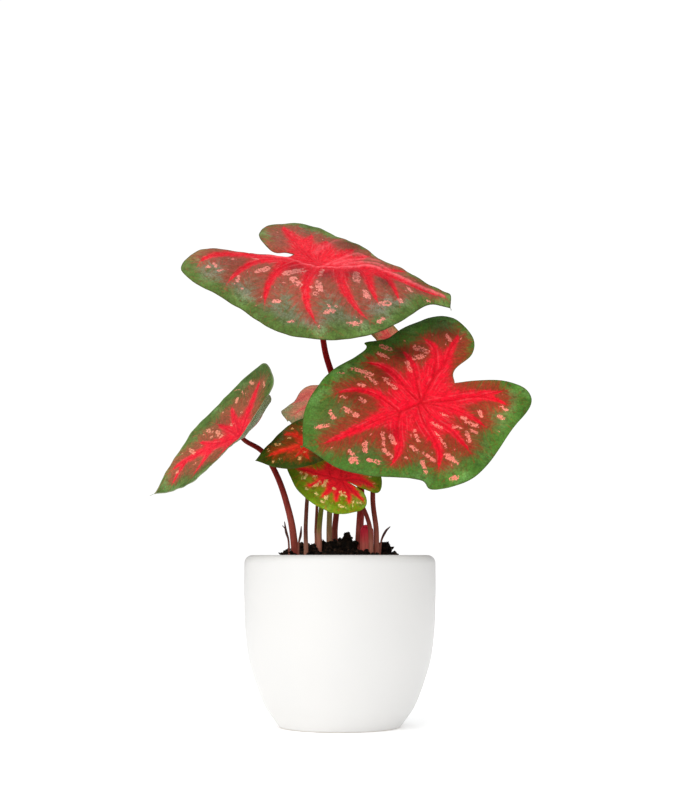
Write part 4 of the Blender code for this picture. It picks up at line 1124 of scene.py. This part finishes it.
def dress_blade(name, spec, settings, seed):
    """Replace a CAD blade with a thin, veined and quilted one."""
    generator = np.random.default_rng(seed)
    outline = blade_outline(spec)
    ring = np.vstack([outline, outline[:1]])
    veins = spec.get("veins") or plain_veins(spec, outline)
    lines, fine = side_veins(veins, outline, generator)
    places, triangles = blade_sheet(spec, outline, ring, lines)
    *look, flush = LOOKS[name]
    fields = blade_fields(places, ring, veins, lines, fine, flush, spec.get("blush", BLUSH_REACH))
    fields["fleck"] = fleck_depth(places, spec.get("flecks", ()))
    # painted shade and painted highlights, kept as the blade's shade field
    fields["shade"] = painted_light_factor(places, spec.get("painted_shade_and_highlight", ()))
    fields["crest"] = crest(places, spec.get("folds", ()))
    x, y = places.T
    rim = fields["rim"]
    along, left, up = blade_axes(spec)

    def lay(px, py):
        rise = blade_rise(spec, px, py, rim)
        return px[:, None] * along + py[:, None] * left + rise[:, None] * up

    middle = lay(x, y)
    normal = np.cross(lay(x + SLOPE_STEP, y) - middle, lay(x, y + SLOPE_STEP) - middle)
    normal /= np.linalg.norm(normal, axis=1)[:, None]
    swell = settings.quilting / MM * spec.get("quilt", 1.0)
    relief = swell * (fields["quilt"] - 0.5) - settings.furrow / MM * fields["line"] + 0.7 * fields["crest"]
    relief += 0.5 * rolling(places, 22.0, seed)
    relief += 0.9 * rolling(places, 9.0, seed + 0.5) * np.exp(-rim / 6.0)
    relief *= 1.0 - np.exp(-(np.hypot(x, y) / STEM_CALM) ** 2)
    half = (settings.margin + (settings.thickness - settings.margin) * ease(rim, 0.0, 8.0)) / MM / 2
    joint = np.array(spec["joint"])
    upper = (joint + middle + normal * (relief + half)[:, None]) * MM
    under = (joint + middle + normal * (relief - half - 0.5 * fields["line"])[:, None]) * MM
    count = len(places)
    faces = list(triangles)
    faces += [tuple(index + count for index in reversed(triangle)) for triangle in triangles]
    for start, end in open_edges(triangles):
        faces.append((end, start, start + count, end + count))
    node = "blade_" + name
    piece = mesh_piece("leaf_" + name, np.vstack([upper, under]), faces, node)
    drawn = ("band", "blush", "line", "rim", "fleck", "shade", "crest", "flat", "way")
    for field in drawn:
        add_field(piece, field, np.concatenate([fields[field], fields[field]]))
    colours = dict(zip(LOOK_LABELS, look))
    surface(piece, "leaf_face_" + name, "Leaf Markings", colours, bump=0.30, depth=0.15,
            shine=spec.get("specular", LEAF_SHINE), fields=drawn)
    colours = {"Under": tuple(settings.under), "Pink": (0.50, 0.13, 0.12)}
    surface(piece, "leaf_underside", "Leaf Underside", colours, bump=0.35, depth=0.15,
            shine=UNDERSIDE_SHINE, fields=("band", "line", "rim", "flat", "way"))
    slots = [0] * len(piece.data.polygons)
    slots[len(triangles):2 * len(triangles)] = [1] * len(triangles)
    piece.data.polygons.foreach_set("material_index", slots)
    piece.data.set_sharp_from_angle(angle=math.radians(60.0))


def tuber_top(x, y):
    """Height of the tuber's upper side at one place, in millimetres."""
    share = min(math.hypot(x, y) / (TUBER_RADIUS * (1.0 - TUBER_KNOBS)), 0.95)
    return TUBER_CENTRE_Z + TUBER_HALF_HEIGHT * math.sqrt(1.0 - share ** 2)


def stem_route(spec):
    """The route of a stem from the tuber to above the soil, and on, in millimetres."""
    foot = np.array([*spec["foot"], tuber_top(*spec["foot"]) + STEM_FOOT_LIFT])
    way_out = np.array([*spec["exit"], STEM_EXIT_Z])
    ahead = (way_out - foot) / np.linalg.norm(way_out - foot)
    lower = [foot, (foot + way_out) / 2, way_out, way_out + ahead * STEM_STRAIGHT_ABOVE]
    return lower + [np.array(point) for point in spec["route"]]


def tube_points(line, radii, sides, flutes=0.0, flute_count=9):
    """Points and faces of a closed tube along a line, slightly fluted."""
    across = np.array([0.0, 1.0, 0.0])
    points = []
    angles = 2 * math.pi * np.arange(sides) / sides
    for index, centre in enumerate(line):
        ahead = line[min(index + 1, len(line) - 1)] - line[max(index - 1, 0)]
        ahead = ahead / np.linalg.norm(ahead)
        across = across - ahead * across.dot(ahead)
        across = across / np.linalg.norm(across)
        second = np.cross(ahead, across)
        radius = radii[index] * (1.0 + flutes * np.cos(flute_count * angles + index * 0.02))
        points.append(centre + (np.cos(angles) * radius)[:, None] * across
                      + (np.sin(angles) * radius)[:, None] * second)
    points = np.vstack(points)
    faces = [tuple(reversed(range(sides))), tuple(range(len(points) - sides, len(points)))]
    for low in range(0, len(points) - sides, sides):
        faces += hoop(low, low + sides, sides)
    return points, faces


def dress_stem(name, spec, settings):
    """Replace a CAD stem with a finer one that swells at the soil and flares into its blade."""
    blade = BLADES[name]
    up = blade_axes(blade)[2]
    joint = np.array(blade["joint"])
    route = stem_route(spec)
    foot_radius, top_radius = (width / 2 for width in spec["width"])
    route += [joint - up * distance for distance in STEM_TOP_STEPS]
    route.append(joint - up * STEM_TOP_INSET)
    radii = [foot_radius] * 4
    upper = len(route) - 4
    radii += [foot_radius + (top_radius - foot_radius) * (index + 1) / upper for index in range(upper)]
    routed = even_curve(smooth_curve(np.c_[np.array(route), radii], 10), 1.5)
    for _ in range(STEM_SMOOTHING):
        routed[1:-1] = (routed[:-2] + 2.0 * routed[1:-1] + routed[2:]) / 4.0
    line = routed[:, :3]
    above = np.maximum(line[:, 2] - SWELLING_Z, 0.0)
    widths = routed[:, 3] * (1.0 + settings.swelling * np.exp(-above / SWELLING_REACH))
    to_joint = np.linalg.norm(line - joint, axis=1)
    widths = widths * (1.0 + FLARE * np.exp(-to_joint / FLARE_REACH))
    points, faces = tube_points(line, widths, settings.sides, 0.025)
    piece = mesh_piece("petiole_" + name, points * MM, faces, "stem_" + name)
    skin_surface(piece, name, spec["skin"])


def soil_height(x, y, edge_radius):
    """Height of the soil's mound at one place, in millimetres, with half of each lump's height."""
    share = min(math.hypot(x, y) / edge_radius, 1.0)
    mound = POT_HEIGHT - SOIL_EDGE_DROP + SOIL_MOUND * (1.0 - share ** 2)
    place = Vector((x / SOIL_CRUMB_SIZE, y / SOIL_CRUMB_SIZE, 3.7))
    crumbs = SOIL_CRUMB * (noise.noise(place) + 0.5 * noise.noise(place * 2.1))
    for lump_x, lump_y, lump_radius, lump_height in BARK_LUMPS:
        away = math.hypot(x - lump_x, y - lump_y) / lump_radius
        crumbs += 0.5 * lump_height * math.exp(-away ** 4)
    return mound + crumbs * (1.0 - share ** 8)


def crumb_relief(x, y):
    """Fine crumb on top of the mound, in millimetres."""
    place = Vector((x / 2.6, y / 2.6, 1.3))
    return 0.8 * noise.fractal(place, 0.8, 2.2, 4) + 0.4 * abs(noise.noise(place * 2.7))


def dressed_height(x, y, edge_radius, crumb=1.0):
    """Height of the dressed soil: the mound and its crumb, sunk towards the wall and the front."""
    share = math.hypot(x, y) / edge_radius
    front = FRONT_LINE + sum(change * float(ease(x, low, high)) for low, high, change in FRONT_STEPS)
    sink = WALL_SINK * float(ease(share, 0.50, 0.75))
    sink += FRONT_SINK * float(ease(front - y, 0.0, 7.0)) * (1.0 - share ** 4)
    return soil_height(x, y, edge_radius) + crumb * crumb_relief(x, y) - sink


def inner_wall(outer, pot):
    """The pot's inner side, from below upwards."""
    low = POT_FLOOR + INNER_FLOOR_ROUND
    high = pot.height / MM - INNER_TOP_DROP
    return [(radius - pot.wall / MM, z) for radius, z in outer if low < z < high]


def pot_profile(settings):
    """The pot's profile from the middle of its underside round its rim to its inner floor."""
    height = settings.height / MM
    outer = smooth_curve(BELLY, 6)
    top = outer[-1][0]
    profile = POT_FOOT + [tuple(point) for point in outer[1:]]
    for angle in range(10, 91, 10):
        turn = math.radians(angle)
        profile.append((top - RIM_ROUND + RIM_ROUND * math.cos(turn),
                        height - RIM_ROUND + RIM_ROUND * math.sin(turn)))
    lip = top - settings.wall / MM
    for angle in range(90, -1, -15):
        turn = math.radians(angle)
        profile.append((lip + LIP_ROUND - LIP_ROUND * math.cos(turn),
                        height - LIP_ROUND + LIP_ROUND * math.sin(turn)))
    inner = inner_wall(outer, settings)
    return profile + inner[::-1] + [(inner[0][0] - INNER_FLOOR_ROUND, POT_FLOOR), (0.0, POT_FLOOR)]


def lathe(profile, sides):
    """Revolve a profile of (radius, z) whose ends lie on the axis."""
    points = [(0.0, 0.0, profile[0][1])]
    for radius, z in profile[1:-1]:
        points += circle(radius, z, sides)
    points.append((0.0, 0.0, profile[-1][1]))
    rings = range(1, len(points) - 1, sides)
    faces = [face for low in rings[:-1] for face in hoop(low, low + sides, sides)]
    for side in range(sides):
        after = (side + 1) % sides
        faces += [(0, 1 + after, 1 + side), (rings[-1] + side, rings[-1] + after, len(points) - 1)]
    return np.array(points), faces


def ball(subdivisions):
    """Points and faces of a round ball of radius 1."""
    built = bmesh.new()
    bmesh.ops.create_icosphere(built, subdivisions=subdivisions, radius=1.0)
    points = np.array([tuple(corner.co) for corner in built.verts])
    faces = [tuple(corner.index for corner in face.verts) for face in built.faces]
    built.free()
    return points, faces


def turned(generator):
    """A random turn, as a 3 by 3 array."""
    axis, _ = np.linalg.qr(generator.normal(size=(3, 3)))
    return axis


def chunk(points, sizes, roughness, generator):
    """A ball pushed into an angular lump and turned at random."""
    shift = generator.uniform(0.0, 50.0)
    knobs = np.array([noise.cell(Vector(point) * 1.7 + Vector((shift, 0.0, 0.0))) for point in points])
    soft = np.array([noise.noise(Vector(point) * 2.4 + Vector((0.0, shift, 0.0))) for point in points])
    rough = points * (1.0 + roughness * (0.6 * (knobs - 0.5) + soft))[:, None] * np.array(sizes)
    return rough @ turned(generator).T


class CALADIUM_OT_pot(bpy.types.Operator):
    """Build the glazed pot"""
    bl_idname = "caladium.pot"
    bl_label = "Glazed Pot"

    def execute(self, context):
        settings = context.scene.caladium_pot
        points, faces = lathe(pot_profile(settings), settings.sides)
        piece = mesh_piece("glazed_pot", points * MM, faces, "pot")
        colours = {"Glaze": tuple(settings.glaze), "Clay": tuple(settings.clay)}
        surface(piece, "pot_glaze", "Glaze", colours, bump=0.12, depth=0.4)
        return {"FINISHED"}


class CALADIUM_OT_soil(bpy.types.Operator):
    """Build the potting mix with its crumbs and bark"""
    bl_idname = "caladium.soil"
    bl_label = "Potting Mix"

    def execute(self, context):
        settings = context.scene.caladium_soil
        pot = context.scene.caladium_pot
        edge = BELLY[-1][0] - pot.wall / MM - SOIL_GAP
        rings = int(edge / (settings.spacing / MM))
        places = [(0.0, 0.0, 0.0)]
        for ring in range(1, rings + 1):
            places += circle(edge * ring / rings, 0.0, 6 * ring)
        points = [(x, y, dressed_height(x, y, edge, 1.0 - min(math.hypot(x, y) / edge, 1.0) ** 4))
                  for x, y, _ in places]
        faces = disc_faces(rings)
        # the hidden body of the mix inside the pot, down to the pot's floor
        count = 6 * rings
        wall = [(radius - SOIL_GAP, z) for radius, z in inner_wall(smooth_curve(BELLY, 2), pot)]
        wall = wall[::-1] + [(wall[0][0] - INNER_FLOOR_ROUND, POT_FLOOR + SOIL_GAP)]
        above = len(points) - count
        for radius, z in wall:
            points += circle(radius, z, count)
            faces += hoop(above + count, above, count)
            above += count
        faces.append(tuple(reversed(range(above, above + count))))
        piece = mesh_piece("potting_mix", np.array(points) * MM, faces, "soil")
        dark, light = tuple(settings.dark), tuple(settings.light)
        crumb_surface(piece, "potting_mix", dark, light, lightness=0.40, size=260.0, bump=0.8, depth=0.5)
        crumbs, chips = self.scatter(settings, edge)
        points, faces = merged(crumbs)
        loose = mesh_piece("soil_crumbs", points * MM, faces)
        crumb_surface(loose, "soil_crumbs", dark, light, lightness=0.49, size=420.0, bump=0.7, depth=0.3)
        points, faces = merged(chips)
        bark = mesh_piece("bark_chips", points * MM, faces)
        crumb_surface(bark, "bark_chips", (0.004, 0.002, 0.001), (0.034, 0.017, 0.010),
                      lightness=0.50, size=500.0, bump=0.9, depth=0.4)
        return {"FINISHED"}

    def scatter(self, settings, edge):
        """Loose crumbs, and bark chips and lumps, on the mound and clear of the stems."""
        generator = np.random.default_rng(CRUMB_SEED)
        stems = [(*spec["exit"], spec["width"][0] / 2) for spec in STEMS.values()]
        stems.append((*NEW_SHOOT["exit"], NEW_SHOOT["width"] / 2))
        small, small_faces = ball(2)
        large, large_faces = ball(3)

        def crumb_sizes():
            size = 0.7 + 2.1 * generator.uniform(0.0, 1.0) ** 2.5
            return size, size * generator.uniform(0.7, 1.3, 3)

        def chip_sizes():
            size = generator.uniform(1.6, 3.6)
            return size, size * np.array([generator.uniform(1.0, 1.6), generator.uniform(0.6, 0.9),
                                          generator.uniform(0.25, 0.45)])

        def strew(count, spread, draw_sizes, roughness, clear, lift):
            heap = []
            for _ in range(count):
                radius = edge * math.sqrt(generator.uniform(0.0, 1.0)) * spread
                angle = generator.uniform(0.0, 2 * math.pi)
                size, sizes = draw_sizes()
                x, y = radius * math.cos(angle), radius * math.sin(angle)
                shape = chunk(small, sizes, roughness, generator)
                if all(math.hypot(x - sx, y - sy) >= sr + size * clear for sx, sy, sr in stems):
                    heap.append((shape + (x, y, dressed_height(x, y, edge) + size * lift), small_faces))
            return heap

        crumbs = strew(settings.crumbs, 0.97, crumb_sizes, 0.32, 0.6, 0.2)
        chips = strew(settings.chips, 0.93, chip_sizes, 0.45, 1.0, 0.25)
        for lump_x, lump_y, lump_radius, lump_height in BARK_LUMPS:
            base = dressed_height(lump_x, lump_y, edge, 0.0) - 0.5 * lump_height
            for share in np.linspace(0.0, 1.0, LUMP_CHUNKS):
                sizes = lump_radius * (0.70 - 0.06 * share) * np.array([1.0, 0.9, 0.8])
                shape = chunk(large, sizes, 0.60, generator)
                offset = generator.uniform(-0.30, 0.30, 2) * lump_radius
                rise = base + lump_height * (0.1 + 0.66 * share)
                chips.append((shape + (lump_x + offset[0], lump_y + offset[1], rise), large_faces))
        return crumbs, chips


class CALADIUM_OT_tuber(bpy.types.Operator):
    """Build the tuber inside the potting mix"""
    bl_idname = "caladium.tuber"
    bl_label = "Tuber"

    def execute(self, context):
        points, faces = ball(5)
        shaped = []
        for point in points:
            place = Vector(point)
            knob = 1.0 + TUBER_KNOBS * noise.noise(place * 2.3)
            rough = 1.0 + 0.02 * noise.fractal(place * 7.0, 0.8, 2.1, 4)
            shaped.append((point[0] * knob * rough * TUBER_RADIUS, point[1] * knob * rough * TUBER_RADIUS,
                           point[2] * rough * TUBER_HALF_HEIGHT + TUBER_CENTRE_Z))
        piece = mesh_piece("knobbly_tuber", np.array(shaped) * MM, faces, "tuber")
        crumb_surface(piece, "tuber_skin", (0.070, 0.035, 0.020), (0.210, 0.125, 0.070),
                      lightness=0.55, size=160.0, bump=0.8, depth=0.6, shine=GLOSS)
        return {"FINISHED"}


class CALADIUM_OT_blades(bpy.types.Operator):
    """Build the leaf blades with their veins and markings"""
    bl_idname = "caladium.blades"
    bl_label = "Leaf Blades"

    def execute(self, context):
        for seed, (name, spec) in enumerate(BLADES.items()):
            dress_blade(name, spec, context.scene.caladium_blades, seed + 1)
        return {"FINISHED"}


class CALADIUM_OT_stems(bpy.types.Operator):
    """Build the stems from the tuber to the blades"""
    bl_idname = "caladium.stems"
    bl_label = "Stems"

    def execute(self, context):
        for name, spec in STEMS.items():
            dress_stem(name, spec, context.scene.caladium_stems)
        return {"FINISHED"}


class CALADIUM_OT_shoots(bpy.types.Operator):
    """Build the rolled leaf, the new shoot and the dried sprouts"""
    bl_idname = "caladium.shoots"
    bl_label = "Shoots and Sprouts"

    def execute(self, context):
        sides = context.scene.caladium_stems.sides

        def tube(route, radii, steps, *shape):
            """The line, points and faces of a tube along a route."""
            line = smooth_curve(route, steps)
            widths = smooth_curve([(radius,) for radius in radii], steps)[:, 0]
            return (line, *tube_points(line, widths, *shape))

        slim = ROLLED_LEAF["width"] / 2
        _, points, faces = tube(stem_route(ROLLED_LEAF), (*[slim] * 5, ROLLED_LEAF["bulge"] / 2, 0.5), 12,
                                sides, 0.02)
        rolled = mesh_piece("young_rolled_leaf", points * MM, faces, "rolled_leaf")
        skin_surface(rolled, "rolled", ROLLED_LEAF["skin"])

        wide = NEW_SHOOT["width"] / 2
        line, points, faces = tube(stem_route(NEW_SHOOT), (wide, wide, wide, wide * 0.85, 0.8), 12,
                                   sides, 0.05, 5)
        centre = np.repeat(line[:, 0], sides)
        points[:, 0] = centre + (points[:, 0] - centre) * NEW_SHOOT["breadth"]
        shoot = mesh_piece("pink_shoot", points * MM, faces, "new_shoot")
        skin_surface(shoot, "shoot", NEW_SHOOT["skin"])

        for name, route in SPROUTS.items():
            _, points, faces = tube(route, SPROUT_RADII, 10, 10, 0.08, 3)
            if name == "sprout_left":
                fork = smooth_curve(SPROUT_FORK, 10)
                branch = tube_points(fork, np.linspace(0.6, 0.3, len(fork)), 10, 0.08, 3)
                points, faces = merged([(points, faces), branch])
            sprout = mesh_piece("dry_" + name, points * MM, faces, name)
            skin_surface(sprout, name, DRY_SKIN)
        return {"FINISHED"}


class CALADIUM_OT_stage(bpy.types.Operator):
    """Build the floor, the lights and the camera"""
    bl_idname = "caladium.stage"
    bl_label = "Studio Stage"

    def execute(self, context):
        settings = context.scene.caladium_stage
        scene = context.scene
        disc = bpy.data.meshes.new("studio_floor")
        disc.from_pydata(circle(settings.floor, 0.0, 96), [], [tuple(range(96))])
        floor = bpy.data.objects.new("studio_floor", disc)
        scene.collection.objects.link(floor)
        made = bpy.data.materials.new("pale_floor")
        made.use_nodes = True
        tree = made.node_tree
        colour = mix(cloud(object_place(tree), 3.0), (0.97, 0.97, 0.97), (0.99, 0.99, 0.99))
        finish = {"Base Color": colour, "Roughness": 0.8, "Specular IOR Level": 0.0,
                  "Emission Color": (1.0, 1.0, 1.0), "Emission Strength": 0.22}
        for label, value in finish.items():
            wire(tree.nodes["Principled BSDF"].inputs[label], value)
        floor.data.materials.append(made)

        world = bpy.data.worlds.new("studio_light")
        world.use_nodes = True
        tree = world.node_tree
        backdrop = tree.nodes["Background"].inputs
        glossy = add_node(tree, "ShaderNodeLightPath", "Is Glossy Ray")
        soft = add_node(tree, "ShaderNodeMix", 0, {0: glossy, 2: settings.ambient, 3: settings.mirrored},
                        data_type="FLOAT")
        glow = add_node(tree, "ShaderNodeMix", 0, {0: glossy.beside("Is Camera Ray"), 2: soft, 3: 1.05},
                        data_type="FLOAT")
        wire(backdrop["Color"], (1.0, 1.0, 1.0))
        wire(backdrop["Strength"], glow)
        scene.world = world
        scene.view_settings.view_transform = "Standard"

        key = bpy.data.lights.new("key_light", "SUN")
        key.energy = settings.key
        key.angle = math.radians(80.0)
        key.color = (1.0, 0.99, 0.97)
        box = bpy.data.lights.new("top_softbox", "AREA")
        box.size = 0.8
        box.energy = settings.sheen
        box.color = (0.90, 0.96, 1.0)
        for light, place, target in ((key, KEY_PLACE, KEY_TARGET), (box, SOFTBOX_PLACE, SOFTBOX_TARGET)):
            lamp = bpy.data.objects.new(light.name, light)
            lamp.location = place
            lamp.rotation_euler = (Vector(target) - Vector(place)).to_track_quat("-Z", "Y").to_euler()
            scene.collection.objects.link(lamp)

        camera = bpy.data.objects.new("photo_camera", bpy.data.cameras.new("photo_camera"))
        camera.data.lens = settings.lens
        camera.location = (CAMERA_SIDE, -settings.distance, CAMERA_HEIGHT)
        camera.rotation_euler = (math.pi / 2 + settings.tilt, 0.0, 0.0)
        scene.collection.objects.link(camera)
        scene.camera = camera
        return {"FINISHED"}


class CALADIUM_PT_panel(bpy.types.Panel):
    """Lists the pieces of the plant and the stage"""
    bl_idname = "CALADIUM_PT_panel"
    bl_label = "Caladium"
    bl_space_type = "VIEW_3D"
    bl_region_type = "UI"
    bl_category = "Caladium"

    def draw(self, context):
        for operator in OPERATORS:
            self.layout.operator(operator.bl_idname)


OPERATORS = (CALADIUM_OT_stage, CALADIUM_OT_pot, CALADIUM_OT_soil, CALADIUM_OT_tuber, CALADIUM_OT_blades,
             CALADIUM_OT_stems, CALADIUM_OT_shoots)
SETTINGS = {"caladium_pot": CaladiumPot, "caladium_soil": CaladiumSoil, "caladium_blades": CaladiumBlades,
            "caladium_stems": CaladiumStems, "caladium_stage": CaladiumStage}


def register():
    for kind in (*SETTINGS.values(), *OPERATORS, CALADIUM_PT_panel):
        bpy.utils.register_class(kind)
    for name, kind in SETTINGS.items():
        setattr(bpy.types.Scene, name, PointerProperty(type=kind))


def unregister():
    for name in SETTINGS:
        delattr(bpy.types.Scene, name)
    for kind in reversed((*SETTINGS.values(), *OPERATORS, CALADIUM_PT_panel)):
        bpy.utils.unregister_class(kind)


def main():
    register()
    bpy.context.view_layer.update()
    bpy.ops.caladium.stage()
    bpy.ops.caladium.pot()
    bpy.ops.caladium.soil()
    bpy.ops.caladium.tuber()
    bpy.ops.caladium.blades()
    bpy.ops.caladium.stems()
    bpy.ops.caladium.shoots()


if __name__ == "__main__":
    main()
